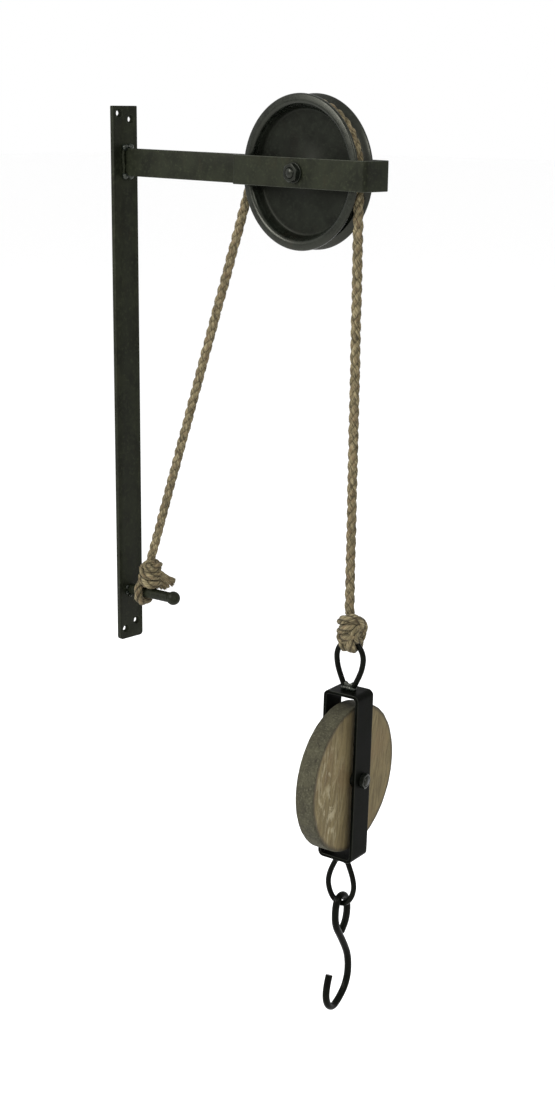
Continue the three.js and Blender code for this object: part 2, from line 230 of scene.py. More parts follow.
JOINTS = {joint["name"]: joint for joint in frame["joints"]}
SHEAVE = middle("sheave_wheel")
BLOCK_LINE = middle("rope_fall").x  # the plumb line of the falling rope

# The block hangs in the bend of its upper eye and leans a little, so it has a frame of its own.
# Its heights are still counted from the sheave's frame, as if it hung plumb.
EYE_HEIGHT = JOINTS["block_swing"]["pos_m"][2]  # the bend of the upper eye, which the rope goes round
DISC_HEIGHT = -387.5 * MM
LEVEL_ACROSS = Vector(JOINTS["block_swing"]["axis"]).normalized()  # level, over the block's bolt
BLOCK_ACROSS = Vector(JOINTS["disc_spin"]["axis"]).normalized()  # along the block's bolt
BLOCK_TURN = math.atan2(BLOCK_ACROSS.y, BLOCK_ACROSS.x)
BLOCK_SIDE = UP.cross(LEVEL_ACROSS)
BLOCK_PLACE = (Matrix.Translation(JOINTS["block_swing"]["pos_m"])
               @ Matrix((BLOCK_ACROSS, BLOCK_SIDE, BLOCK_ACROSS.cross(BLOCK_SIDE))).transposed().to_4x4()
               @ Matrix.Translation((0, 0, -EYE_HEIGHT)))

ROPE_RADIUS = 4.5 * MM
ROPE_LAY = 37 * MM
PITCH_RADIUS = 69.5 * MM

PLATE_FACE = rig.box("back_plate")[1].x
PEG_ROOT = Vector((PLATE_FACE, 0, -246 * MM))
PEG_WAY = Vector((math.cos(math.radians(2)), 0, math.sin(math.radians(2))))  # the peg rises a little
ARM_DROOP = math.radians(0.75)  # the arm and the fork droop, about the sheave's axle


def on_peg(along, side, height):
    """A place near the peg: along it from the wall, and off its middle line."""
    peg_up = PEG_WAY.cross(Vector((0, 1, 0)))
    return PEG_ROOT + PEG_WAY * (along - PLATE_FACE) + Vector((0, side, 0)) + peg_up * height


# ---- materials ----
class Shade:
    """A node material being put together."""

    def __init__(self, name, **sockets):
        self.material = bpy.data.materials.new(name)
        self.material.use_nodes = True
        self.tree = self.material.node_tree
        self.shader = self.tree.nodes["Principled BSDF"]
        for socket, value in sockets.items():
            self.shader.inputs[socket.replace("_", " ")].default_value = value
        self.coordinates = self.node("ShaderNodeTexCoord")
        self.place = self.coordinates.outputs["Object"]

    def node(self, kind, **settings):
        node = self.tree.nodes.new(kind)
        for key, value in settings.items():
            setattr(node, key, value)
        return node

    def plug(self, socket, value):
        """Sets a socket to a value, or joins it to another node's output."""
        if isinstance(value, bpy.types.NodeSocket):
            self.tree.links.new(value, socket)
        else:
            socket.default_value = value

    def feed(self, node, **inputs):
        for name, value in inputs.items():
            self.plug(node.inputs[name.replace("_", " ")], value)
        return node

    def mapped(self, place, stretch=(1, 1, 1), turn=(0, 0, 0)):
        node = self.feed(self.node("ShaderNodeMapping"), Vector=place, Scale=stretch, Rotation=turn)
        return node.outputs["Vector"]

    def noise(self, scale, detail=4, rough=0.55, place=None, stretch=None, twist=0.0):
        """Cloudy noise, drawn out along an axis whose share of stretch is under 1."""
        place = place or self.place
        if stretch:
            place = self.mapped(place, stretch=stretch)
        node = self.node("ShaderNodeTexNoise")
        self.feed(node, Vector=place, Scale=scale, Detail=detail, Roughness=rough, Distortion=twist)
        return node.outputs["Fac"]

    def ramp(self, value, low, high, start=0.0, end=1.0):
        """The value's range low to high, spread over start to end, and held beyond it."""
        node = self.node("ShaderNodeMapRange", interpolation_type="SMOOTHSTEP")
        self.feed(node, Value=value, From_Min=low, From_Max=high, To_Min=start, To_Max=end)
        return node.outputs["Result"]

    def math(self, kind, a, b=0.0):
        node = self.node("ShaderNodeMath", operation=kind)
        self.plug(node.inputs[0], a)
        self.plug(node.inputs[1], b)
        return node.outputs[0]

    def times(self, a, b):
        return self.math("MULTIPLY", a, b)

    def plus(self, a, b):
        return self.math("ADD", a, b)

    def mix(self, share, a, b):
        """Two colours mixed; either may come from other nodes."""
        node = self.node("ShaderNodeMix", data_type="RGBA")
        for socket, value in zip((node.inputs[0], node.inputs[6], node.inputs[7]), (share, a, b)):
            self.plug(socket, (*value, 1) if isinstance(value, tuple) else value)
        return node.outputs[2]

    def bump(self, height, depth):
        """Raises the surface by depth metres where height is 1."""
        node = self.feed(self.node("ShaderNodeBump"), Height=height, Distance=depth, Strength=1.0)
        return node.outputs["Normal"]

    def finish(self, **inputs):
        self.feed(self.shader, **inputs)
        return self.material


def scaled(colour, share):
    return tuple(part * share for part in colour)


def make_steel(name, colour, brown, roughness, gloss):
    """Blackened mild steel: uneven scale, faint brown patches, a fine grit and dull rubbed places."""
    shade = Shade(name, Metallic=0.0, Specular_IOR_Level=gloss, Specular_Tint=(1, 1, 0.85, 1))
    clouds = shade.noise(38, detail=6, rough=0.62)
    fine = shade.noise(300, detail=6, rough=0.75)
    streaks = shade.noise(160, stretch=(1, 1, 0.12))
    patches = shade.noise(21, detail=7, rough=0.7)
    base = shade.mix(shade.ramp(clouds, 0.36, 0.64), scaled(colour, 0.45), colour)
    base = shade.mix(shade.ramp(fine, 0.5, 0.68, 0, 0.75), base, scaled(colour, 2.1))
    rust = shade.times(shade.ramp(patches, 0.52, 0.72), shade.ramp(streaks, 0.35, 0.7, 0, 0.5))
    base = shade.mix(rust, base, brown)
    dull = shade.plus(shade.ramp(clouds, 0.3, 0.7, roughness - 0.07, roughness + 0.08),
                      shade.ramp(fine, 0.3, 0.7, -0.05, 0.05))
    relief = shade.plus(shade.times(fine, 0.6), shade.times(streaks, 0.8))
    return shade.finish(Base_Color=base, Roughness=dull, Normal=shade.bump(relief, 0.05 * MM))


def make_jute(dark, mid, light, reddish):
    """Jute: the fibres run along each strand's yarns, whose own coordinates the mesh carries.
    Painted shade darkens it between the strands.
    """
    shade = Shade("jute_rope", Roughness=0.86, Specular_IOR_Level=0.15, Sheen_Weight=0.05,
                  Sheen_Roughness=0.5)
    marks = shade.node("ShaderNodeAttribute", attribute_name="fibre").outputs["Vector"]
    hairs = shade.noise(1500, detail=3, rough=0.7, place=marks, stretch=(1, 1, 0.06))
    bands = shade.noise(560, detail=5, rough=0.7, place=marks, stretch=(1, 1, 0.06))
    flecks = shade.noise(430, rough=0.7, twist=0.6, place=marks, stretch=(1, 1, 0.2))
    blotch = shade.noise(75, place=marks)
    hue = shade.noise(150, detail=3, rough=0.6, place=marks)
    base = shade.mix(shade.ramp(bands, 0.4, 0.6), dark, mid)
    base = shade.mix(shade.ramp(hue, 0.5, 0.62, 0, 0.7), base, reddish)
    base = shade.mix(shade.ramp(hairs, 0.48, 0.66, 0, 0.75), base, light)
    base = shade.mix(shade.ramp(flecks, 0.53, 0.66, 0, 0.7), base, light)
    base = shade.mix(shade.ramp(blotch, 0.52, 0.7, 0, 0.5), base, scaled(mid, 0.6))
    base = shade.mix(shade.ramp(flecks, 0.36, 0.44, 0.7, 0), base, scaled(dark, 0.45))
    # painted shade: darker where the mesh's mark falls between the strands
    crevice_shade_mask = shade.node("ShaderNodeAttribute", attribute_name="crevice_shade_mask").outputs["Fac"]
    base = shade.mix(shade.ramp(crevice_shade_mask, 0.97, 0.8, 0, 0.85), base, scaled(dark, 0.5))
    relief = shade.plus(shade.times(bands, 0.9), shade.times(flecks, 0.8))
    return shade.finish(Base_Color=base, Normal=shade.bump(relief, 0.45 * MM))


WOOD_DARK, WOOD_MID, WOOD_LIGHT = (0.062, 0.046, 0.018), (0.118, 0.091, 0.039), (0.158, 0.128, 0.061)
WOOD_RED, WOOD_PALE, WOOD_BLACK = (0.108, 0.068, 0.03), (0.24, 0.21, 0.13), (0.014, 0.011, 0.007)
RIM_DARK, RIM_MID, RIM_LIGHT = (0.024, 0.022, 0.013), (0.047, 0.044, 0.026), (0.078, 0.075, 0.048)
GRAIN_LEAN = math.radians(7)


def make_wood_face():
    """The disc's sawn faces: upright grain, paler worn streaks toward one side, and a dirty edge."""
    shade = Shade("wood_face", Roughness=0.78, Specular_IOR_Level=0.3)
    from_centre = shade.feed(shade.node("ShaderNodeVectorMath", operation="SUBTRACT"), Vector=shade.place)
    from_centre.inputs[1].default_value = JOINTS["disc_spin"]["pos_m"]
    local = shade.mapped(from_centre.outputs[0], turn=(0, 0, -BLOCK_TURN))
    leaning = shade.mapped(local, turn=(GRAIN_LEAN, 0, 0))
    rings = shade.noise(80, detail=5, rough=0.65, twist=1.6, place=leaning, stretch=(1, 1, 0.2))
    grain = shade.noise(420, detail=5, rough=0.7, place=leaning, stretch=(1, 1, 0.05))
    pores = shade.noise(1500, detail=2, place=leaning, stretch=(1, 1, 0.1))
    cloud = shade.noise(24, detail=3, place=local)
    worn = shade.noise(85, detail=6, rough=0.75, twist=1.2, place=leaning, stretch=(1, 1, 0.35))
    base = shade.mix(shade.ramp(rings, 0.32, 0.68), WOOD_DARK, WOOD_MID)
    base = shade.mix(shade.ramp(grain, 0.42, 0.7, 0, 0.5), base, WOOD_LIGHT)
    base = shade.mix(shade.ramp(cloud, 0.5, 0.72, 0, 0.45), base, WOOD_RED)

    split = shade.feed(shade.node("ShaderNodeSeparateXYZ"), Vector=local)
    side, height = split.outputs["Y"], split.outputs["Z"]
    lower = shade.times(shade.ramp(height, -0.075, -0.045), shade.ramp(height, 0.03, -0.02))
    upper = shade.times(shade.ramp(height, 0.0, 0.03), shade.ramp(height, 0.065, 0.035, 0, 0.7))
    rubbed = shade.times(shade.plus(lower, upper), shade.ramp(side, -0.012, -0.055))
    pale = shade.times(shade.ramp(worn, 0.5, 0.62), shade.plus(shade.times(rubbed, 0.9), 0.05))
    base = shade.mix(pale, base, WOOD_PALE)
    base = shade.mix(shade.ramp(pores, 0.36, 0.26, 0, 0.6), base, WOOD_BLACK)
    radius = shade.math("SQRT", shade.plus(shade.times(side, side), shade.times(height, height)))
    edge = shade.plus(radius, shade.ramp(worn, 0.2, 0.8, -0.0015, 0.0015))
    base = shade.mix(shade.ramp(edge, 0.0745, 0.0795, 0, 0.75), base, WOOD_BLACK)
    relief = shade.plus(shade.times(grain, 0.7), shade.times(pores, 0.5))
    return shade.finish(Base_Color=base, Normal=shade.bump(relief, 0.35 * MM))


def make_wood_rim():
    """The disc's rim: grey, weathered and pitted."""
    shade = Shade("wood_rim", Roughness=0.88, Specular_IOR_Level=0.2)
    local = shade.mapped(shade.place, turn=(0, 0, -BLOCK_TURN))
    blotch = shade.noise(70, detail=6, rough=0.7, place=local)
    speck = shade.noise(620, rough=0.7, place=local, stretch=(0.7, 1, 0.6))
    worms = shade.noise(190, detail=5, rough=0.7, twist=2.2, place=local, stretch=(1, 1, 0.5))
    base = shade.mix(shade.ramp(blotch, 0.3, 0.7), RIM_DARK, RIM_MID)
    base = shade.mix(shade.ramp(speck, 0.5, 0.7, 0, 0.8), base, RIM_LIGHT)
    base = shade.mix(shade.ramp(worms, 0.45, 0.36, 0, 0.7), base, WOOD_BLACK)
    relief = shade.plus(shade.times(speck, 0.7), worms)
    return shade.finish(Base_Color=base, Normal=shade.bump(relief, 0.8 * MM))


# Each steel's colour, the brown of its patches, its roughness and its gloss.
bracket_steel = make_steel("bracket_steel", (0.0085, 0.01, 0.0054), (0.015, 0.011, 0.005), 0.5, 0.1)
bracket_edge = make_steel("bracket_edge", (0.014, 0.016, 0.011), (0.02, 0.014, 0.008), 0.42, 0.2)
sheave_steel = make_steel("sheave_steel", (0.0046, 0.0056, 0.0038), (0.008, 0.006, 0.004), 0.42, 0.08)
bead_steel = make_steel("bead_steel", (0.0045, 0.0058, 0.004), (0.009, 0.007, 0.004), 0.3, 0.24)
block_steel = make_steel("block_steel", (0.002, 0.0024, 0.0017), (0.004, 0.0026, 0.0015), 0.4, 0.016)
block_edge = make_steel("block_edge", (0.005, 0.006, 0.0045), (0.04, 0.013, 0.007), 0.38, 0.1)
rod_steel = make_steel("rod_steel", (0.002, 0.0024, 0.0017), (0.006, 0.004, 0.003), 0.28, 0.045)
weld_steel = make_steel("weld_steel", (0.008, 0.0108, 0.009), (0.014, 0.011, 0.008), 0.26, 0.38)
bush_steel = make_steel("bush_steel", (0.008, 0.009, 0.007), (0.012, 0.008, 0.005), 0.4, 0.2)
fastener_steel = make_steel("fastener_steel", (0.0045, 0.0056, 0.0042), (0.009, 0.006, 0.004), 0.32, 0.2)
jute_rope = make_jute(dark=(0.032, 0.0255, 0.0125), mid=(0.102, 0.082, 0.042),
                      light=(0.24, 0.203, 0.118), reddish=(0.105, 0.07, 0.037))
wood_face = make_wood_face()
wood_rim = make_wood_rim()


# ---- mesh making ----
def mesh_object(name, vertices, faces, *materials):
    mesh = bpy.data.meshes.new(name)
    mesh.from_pydata([tuple(v) for v in vertices], [], faces)
    for material in materials:
        mesh.materials.append(material)
    outward = bmesh.new()
    outward.from_mesh(mesh)
    bmesh.ops.recalc_face_normals(outward, faces=outward.faces)
    outward.to_mesh(mesh)
    outward.free()
    return add_object(name, mesh)


def smooth(piece, angle=40):
    """Shades the piece smooth, but for the edges sharper than the angle."""
    piece.data.polygons.foreach_set("use_smooth", [True] * len(piece.data.polygons))
    piece.data.set_sharp_from_angle(angle=math.radians(angle))
    return piece


def place(piece, body, slot, *nodes):
    """Rides a piece on a body, names its material slot and says which CAD nodes it stands for."""
    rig.ride(piece, body)
    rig.slot(piece, slot)
    if nodes:
        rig.replaces(piece, *nodes)
    return piece


def axes_about(axis):
    """An axis made one long, and two directions square to it."""
    axis = Vector(axis).normalized()
    side = (UP if abs(axis.z) < 0.9 else Vector((1, 0, 0))).cross(axis).normalized()
    return axis, side, axis.cross(side)


def spoke(side, other, angle):
    """The direction at an angle from side toward other."""
    return side * math.cos(angle) + other * math.sin(angle)


def turned_mesh(profile, steps, origin, axis, uneven=None):
    """A turned solid: (radius, height) pairs along the axis, closing on themselves or ending on it."""
    axis, side, other = axes_about(axis)
    vertices, faces, rings = [], [], []
    for radius, height in profile:
        if radius < 1e-7:
            rings.append([len(vertices)] * steps)
            vertices.append(origin + axis * height)
            continue
        start = len(vertices)
        for i in range(steps):
            angle = 2 * math.pi * i / steps
            grown = radius + (uneven(angle, radius, height) if uneven else 0)
            vertices.append(origin + axis * height + spoke(side, other, angle) * grown)
        rings.append(list(range(start, start + steps)))
    if profile[0][0] > 1e-7:
        rings.append(rings[0])
    for lower, upper in zip(rings, rings[1:]):
        for i in range(steps):
            j = (i + 1) % steps
            corners = [lower[i], lower[j], upper[j], upper[i]]
            faces.append(tuple(dict.fromkeys(corners)))
    return vertices, faces


def turned(name, profile, steps, origin, axis, *materials, uneven=None):
    vertices, faces = turned_mesh(profile, steps, origin, axis, uneven)
    return smooth(mesh_object(name, vertices, faces, *materials), 32)


def arc(centre, radius, start, end, count):
    """Points of an arc, its angles in degrees."""
    return [(centre[0] + radius * math.cos(math.radians(start + (end - start) * i / count)),
             centre[1] + radius * math.sin(math.radians(start + (end - start) * i / count)))
            for i in range(count + 1)]


def even(line, step):
    """The same line with its points an even step apart."""
    lengths = [0.0]
    for a, b in zip(line, line[1:]):
        lengths.append(lengths[-1] + (b - a).length)
    pieces = max(2, round(lengths[-1] / step))
    result, j = [], 0
    for i in range(pieces + 1):
        target = lengths[-1] * i / pieces
        while j < len(lengths) - 2 and lengths[j + 1] < target:
            j += 1
        span = lengths[j + 1] - lengths[j]
        share = (target - lengths[j]) / span if span > 0 else 0
        result.append(line[j].lerp(line[j + 1], min(max(share, 0), 1)))
    return result


def spline(points, step):
    """A Catmull-Rom curve through the points, as points an even step apart."""
    points = [Vector(p) for p in points]
    points = [points[0] * 2 - points[1], *points, points[-1] * 2 - points[-2]]
    fine = []
    for a, b, c, d in zip(points, points[1:], points[2:], points[3:]):
        knots = [0.0]
        for p, q in ((a, b), (b, c), (c, d)):
            knots.append(knots[-1] + math.sqrt(max((q - p).length, 1e-9)))
        for k in range(16):
            t = knots[1] + (knots[2] - knots[1]) * k / 16
            ab = a.lerp(b, t / knots[1])
            bc = b.lerp(c, (t - knots[1]) / (knots[2] - knots[1]))
            cd = c.lerp(d, (t - knots[2]) / (knots[3] - knots[2]))
            abc = ab.lerp(bc, t / knots[2])
            bcd = bc.lerp(cd, (t - knots[1]) / (knots[3] - knots[1]))
            fine.append(abc.lerp(bcd, (t - knots[1]) / (knots[2] - knots[1])))
    fine.append(points[-2].copy())
    return even(fine, step)


def frames_along(line):
    """A tangent, normal and binormal at each point, carried along without twist."""
    tangents = []
    for i in range(len(line)):
        tangents.append((line[min(i + 1, len(line) - 1)] - line[max(i - 1, 0)]).normalized())
    normal = tangents[0].orthogonal().normalized()
    result = [(tangents[0], normal, tangents[0].cross(normal))]
    for before, after in zip(tangents, tangents[1:]):
        normal = before.rotation_difference(after) @ normal
        normal = (normal - after * normal.dot(after)).normalized()
        result.append((after, normal, after.cross(normal)))
    return result


def band(i, j, sides, first=0):
    """The faces between ring i and ring j of a mesh made of equal rings."""
    low, high = first + i * sides, first + j * sides
    return [(low + k, low + (k + 1) % sides, high + (k + 1) % sides, high + k) for k in range(sides)]


def loop_faces(count, sides):
    """The faces of rings joined in a closed loop."""
    return [face for i in range(count) for face in band(i, (i + 1) % count, sides)]


def tube_faces(count, sides, first=0):
    faces = []
    for i in range(count - 1):
        faces += band(i, i + 1, sides, first)
    faces.append(tuple(first + k for k in range(sides))[::-1])
    faces.append(tuple(first + (count - 1) * sides + k for k in range(sides)))
    return faces


ROD_SIDES = 24


def rod(name, line, radius):
    """A round bar bent along a line, its cut ends slightly broken."""
    ends = 0.6 * MM
    frames = frames_along(line)
    rings = [(line[0], frames[0], radius - ends)]
    rings += [(point, axes, radius) for point, axes in zip(line, frames)]
    rings += [(line[-1], frames[-1], radius - ends)]
    rings[1] = (line[0] + frames[0][0] * ends, frames[0], radius)
    rings[-2] = (line[-1] - frames[-1][0] * ends, frames[-1], radius)
    vertices = []
    for point, (_, normal, binormal), reach in rings:
        for k in range(ROD_SIDES):
            vertices.append(point + spoke(normal, binormal, 2 * math.pi * k / ROD_SIDES) * reach)
    return smooth(mesh_object(name, vertices, tube_faces(len(rings), ROD_SIDES), rod_steel), 35)


# ---- the ropes ----
class Heap:
    """Gathers tubes of rope into one mesh. Each vertex has a mark: the three coordinates that its fibres
    follow, and how far it stands out from the rope's middle, 1 on the outside and less between strands,
    where it sets the painted shade."""

    def __init__(self):
        self.vertices, self.faces, self.marks = [], [], []

    def tube(self, rings, marks):
        sides = len(rings[0])
        self.faces += tube_faces(len(rings), sides, len(self.vertices))
        self.vertices += [v for ring in rings for v in ring]
        self.marks += [m for ring in marks for m in ring]

    def piece(self, name):
        piece = mesh_object(name, self.vertices, self.faces, jute_rope)
        marks = piece.data.attributes.new("fibre", "FLOAT_VECTOR", "POINT")
        marks.data.foreach_set("vector", [c for mark in self.marks for c in mark[:3]])
        # this layer carries the mark for the painted shade between strands
        heights = piece.data.attributes.new("crevice_shade_mask", "FLOAT", "POINT")
        heights.data.foreach_set("value", [mark[3] for mark in self.marks])
        return smooth(piece, 75)


STRAND_RADIUS, STRAND_HELIX = 0.6, 0.4  # shares of the rope's radius
STRAND_SIDES = 20
STRAND_SWELL = 0.1  # how unevenly thick a strand is
YARNS = 5
YARN_LAY = 24 * MM
YARN_LOBE = 0.06  # how far the yarns stand out of a strand


def laid_rope(heap, line, radius=5.3 * MM, phase=0.0, crevice_shade=0.6):
    """Three strands laid right-handed along a line, their yarns twisting the other way. The last
    argument is how much painted shade darkens the colour between the strands."""
    frames = frames_along(line)
    step = (line[1] - line[0]).length
    for strand in range(3):
        rings, marks = [], []
        for i, (point, (_, normal, binormal)) in enumerate(zip(line, frames)):
            run = i * step
            turn = phase + 2 * math.pi * (run / ROPE_LAY + strand / 3)
            uneven = noise.noise(Vector((run / (9 * MM), strand * 7.3 + phase, radius * 900)))
            reach = radius * STRAND_RADIUS * (1 + STRAND_SWELL * uneven)
            centre = point + spoke(normal, binormal, turn) * radius * STRAND_HELIX
            yarn = -2 * math.pi * run / YARN_LAY
            ring, mark = [], []
            for k in range(STRAND_SIDES):
                angle = 2 * math.pi * k / STRAND_SIDES
                lobe = 1 + YARN_LOBE * math.cos(YARNS * (angle - yarn))
                outside = centre + spoke(normal, binormal, angle) * reach * lobe
                # painted shade: the mark falls from 1 on the outside to less between the strands
                crevice_shade_mask = 1 - crevice_shade * (1 - (outside - point).length / radius)
                ring.append(outside)
                mark.append((math.cos(angle - yarn) * reach + strand * 0.05,
                             math.sin(angle - yarn) * reach, run, crevice_shade_mask))
            rings.append(ring)
            marks.append(mark)
        heap.tube(rings, marks)


def hair(heap, points, thickness, rng):
    """One loose fibre through a few points, tapering to its tip, its colour drawn from rng."""
    mark = (rng.random(), rng.random(), rng.random(), 1.0)
    frames = frames_along(points)
    rings = []
    for i, (point, (_, normal, binormal)) in enumerate(zip(points, frames)):
        reach = thickness * (1 - 0.6 * i / (len(points) - 1))
        rings.append([point + spoke(normal, binormal, angle) * reach for angle in (0, 2.1, 4.2)])
    heap.tube(rings, [[mark] * 3] * len(rings))


def fuzz(heap, line, per_metre, seed, radius=ROPE_RADIUS, reach=2.4 * MM):
    """Stray fibres that lift off a rope, none further than reach."""
    rng = random.Random(seed)
    frames = frames_along(line)
    length = (line[1] - line[0]).length * (len(line) - 1)
    for _ in range(int(per_metre * length)):
        i = rng.randrange(2, len(line) - 2)
        tangent, normal, binormal = frames[i]
        angle = rng.uniform(0, 2 * math.pi)
        lift = reach * rng.uniform(0.3, 1.0) ** 1.5
        run = rng.choice((-1, 1)) * rng.uniform(2, 6) * MM
        swing = rng.uniform(-0.7, 0.7)
        points = []
        for share in (0, 0.35, 0.7, 1):
            out = radius * 0.93 + lift * share ** 1.3
            around = angle + swing * share
            points.append(line[i] + tangent * run * share + spoke(normal, binormal, around) * out)
        hair(heap, points, rng.uniform(0.05, 0.09) * MM, rng)


def wander(line, amount, seed):
    """Gives a rope's line a little unevenness, none at its ends."""
    result = []
    for i, point in enumerate(line):
        share = i / (len(line) - 1)
        hold = min(1, 8 * share, 8 * (1 - share))
        drift = noise.noise_vector(Vector((share * len(line) / 14, seed, 0)))
        result.append(point + drift * amount * hold)
    return result


ROPE_STEP = 1.8 * MM
HAUL_START = Vector((39.5, 0, -204)) * MM
FALL_TOP = Vector((BLOCK_LINE, 0, SHEAVE.z - 0.3 * MM))
FALL_END = Vector((BLOCK_LINE - 1.4 * MM, -1.3 * MM, JOINTS["rope_twist"]["pos_m"][2]))


def haul_line():
    """From the knot on the peg straight up to the sheave, over it, and to where the fall begins."""
    start = HAUL_START
    from_axle = start - SHEAVE
    away = math.hypot(from_axle.x, from_axle.z)
    touch = math.degrees(math.atan2(from_axle.z, from_axle.x) - math.acos(PITCH_RADIUS / away)) % 360
    over = [Vector((x, 0, z)) for x, z in arc((SHEAVE.x, SHEAVE.z), PITCH_RADIUS, touch, 0, 60)]
    straight = [start.lerp(over[0], i / 40) for i in range(40)]
    return even(straight + over, ROPE_STEP)


def make_ropes():
    line = haul_line()
    heap = Heap()
    # the straight ropes take a lighter painted shade between strands than the knots
    laid_rope(heap, wander(line, 0.25 * MM, 3.1), crevice_shade=0.35)
    fuzz(heap, line, 620, seed=11)
    haul = heap.piece("haul_rope")
    place(haul, "bracket", "jute_rope", "rope_haul")

    fall_line = even([FALL_TOP, FALL_END], ROPE_STEP)
    heap = Heap()
    laid_rope(heap, wander(fall_line, 0.3 * MM, 8.4), phase=1.0, crevice_shade=0.35)
    fuzz(heap, fall_line, 620, seed=12)
    fall = heap.piece("fall_rope")
    place(fall, "bracket", "jute_rope", "rope_fall")
    fall_length = FALL_TOP.z - FALL_END.z
    keep = 1 - JOINTS["hoist"]["range_m"][1] / fall_length
    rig.squash(fall, "hoist", axis=(0, 0, 1), anchor=FALL_TOP, keep=keep)
    return haul, line, fall, fall_line


haul_rope, haul_path, fall_rope, fall_path = make_ropes()


# ---- the knots ----
def facing(origin, towards):
    """Places points given in mm as right, front and height, seen from outside along a level direction."""
    front = Vector((towards.x, towards.y, 0)).normalized()
    right = UP.cross(front)

    def at(r, f, z):
        return Vector((origin.x, origin.y, 0)) + right * r * MM + front * f * MM + UP * z * MM
    return at


YARN_SIDES = 14
YARN_STEP = 1.2 * MM
YARN_RADIUS = 1.9 * MM
TAIL_SEED = 6


def unlaid_yarn(heap, points, n):
    """One yarn of a rope end that has come unlaid, thicker toward its tip, where its fibres part."""
    rng = random.Random(TAIL_SEED * 100 + n)
    line = spline(points, YARN_STEP)
    frames = frames_along(line)
    rings, marks = [], []
    for i, (point, (_, normal, binormal)) in enumerate(zip(line, frames)):
        share = i / (len(line) - 1)
        ring, mark = [], []
        for k in range(YARN_SIDES):
            around = 2 * math.pi * k / YARN_SIDES
            spot = Vector((n * 5.1 + math.cos(around), math.sin(around), i * 0.25 + TAIL_SEED))
            rough = 1 + 0.25 * noise.noise(spot)
            reach = YARN_RADIUS * rough * (0.8 + 0.35 * share)
            ring.append(point + spoke(normal, binormal, around) * reach)
            # the mark's last value gives the yarn's thinner dips a painted shade
            mark.append((math.cos(around + i * 0.1) * YARN_RADIUS + n * 0.013,
                         math.sin(around + i * 0.1) * YARN_RADIUS, i * YARN_STEP, 0.8 + 0.2 * rough))
        rings.append(ring)
        marks.append(mark)
    heap.tube(rings, marks)
    tip, (tangent, normal, binormal) = line[-1], frames[-1]
    for _ in range(26):
        around, off = rng.uniform(0, 2 * math.pi), YARN_RADIUS * 1.1 * math.sqrt(rng.random())
        start = tip - tangent * 1.5 * MM + spoke(normal, binormal, around) * off
        flick = Vector([rng.uniform(-1, 1) for _ in range(3)]) * 0.3
        reach = rng.uniform(2, 4) * MM
        way = (tangent + flick).normalized()
        hair(heap, [start, start + way * reach * 0.5, start + way * reach],
             rng.uniform(0.14, 0.3) * MM, rng)


KNOT_STEP = 1.5 * MM


def core(at, centre, low, high, reach, turns):
    """A tight coil of rope hidden inside a knot, so that no daylight shows between its turns."""
    points = []
    for i in range(turns * 8 + 1):
        angle = math.pi / 4 * i
        share = i / (turns * 8)
        points.append(at(centre[0] + reach * math.cos(angle), centre[1] + reach * math.sin(angle),
                         high + (low - high) * share))
    return spline(points, KNOT_STEP)


BLOCK_KNOT_FACE = Vector((0.654, -0.756, 0))
PEG_KNOT_FACE = Vector((0.738, -0.675, 0))


def make_block_knot():
    """A round turn through the upper eye, wraps of the rope round itself, and a tucked end."""
    at = facing(Vector((BLOCK_LINE, 0, 0)), BLOCK_KNOT_FACE)
    eye = EYE_HEIGHT / MM
    route = [(-1.6, 0, -203), (-1.6, 0, -209), (-2, -1, -217), (-4.5, 2, -226),
             (-7.6, 4.6, eye + 1.5), (-7.2, 2.2, eye - 5), (-4, -2.4, eye - 7), (-0.5, -7, eye - 5),
             (0.6, -9, eye + 1), (0.2, -5, eye + 6.6), (-0.2, 1.5, eye + 8), (-0.4, 7.6, eye + 5),
             (-0.2, 9.2, eye - 1), (1.6, 6.8, eye - 6), (4.6, 1.8, eye - 7), (8, -3, eye - 5.5),
             (10.4, -4.6, eye + 2), (12.6, -1.5, -226), (12.8, 3, -219), (9.4, 6.6, -213), (2.5, 8.4, -210.2),
             (-5.2, 7.4, -210.8), (-10, 2.6, -214), (-9.4, -5, -217.5), (-1, -9, -219), (7.4, -6, -221),
             (9.6, 1.6, -222.5), (6.2, 8, -225), (0.4, 9.8, -229), (-6, 8.2, -232.6), (-10.4, 3, -232.8),
             (-9.4, -4, -229), (-10.6, 1, -224.6), (-7.4, 7.4, -221.6), (-1.6, 9, -218.8), (3, 6, -216)]
    line = spline([at(0.95 * r, 0.95 * f, z) for r, f, z in route], KNOT_STEP)
    heap = Heap()
    laid_rope(heap, core(at, (0, 0), -234, -212, 5, 3), radius=4.6 * MM, phase=1.4)
    laid_rope(heap, line, radius=5.1 * MM, phase=0.4)
    fuzz(heap, line, 1300, seed=21, radius=5.3 * MM)
    crossing = [(9, 3, -235), (6, 8, -232.6), (3.4, 10.6, -227.4), (5.4, 9.6, -221.6), (8, 5, -218)]
    laid_rope(heap, spline([at(*p) for p in crossing], KNOT_STEP), radius=4.4 * MM, phase=2.2)
    through_eye = [(-10, 4.5, -234), (-8.4, 6, -238.6), (-4, 5, -242.6), (1, 1.5, -244.4),
                   (5.6, -3.4, -243.8), (8.6, -7.4, -239.4), (8.6, -8, -233)]
    laid_rope(heap, spline([at(*p) for p in through_eye], KNOT_STEP), radius=4.5 * MM, phase=0.7)
    knot = heap.piece("block_knot_rope")
    return place(knot, "knot", "jute_rope", "block_knot")


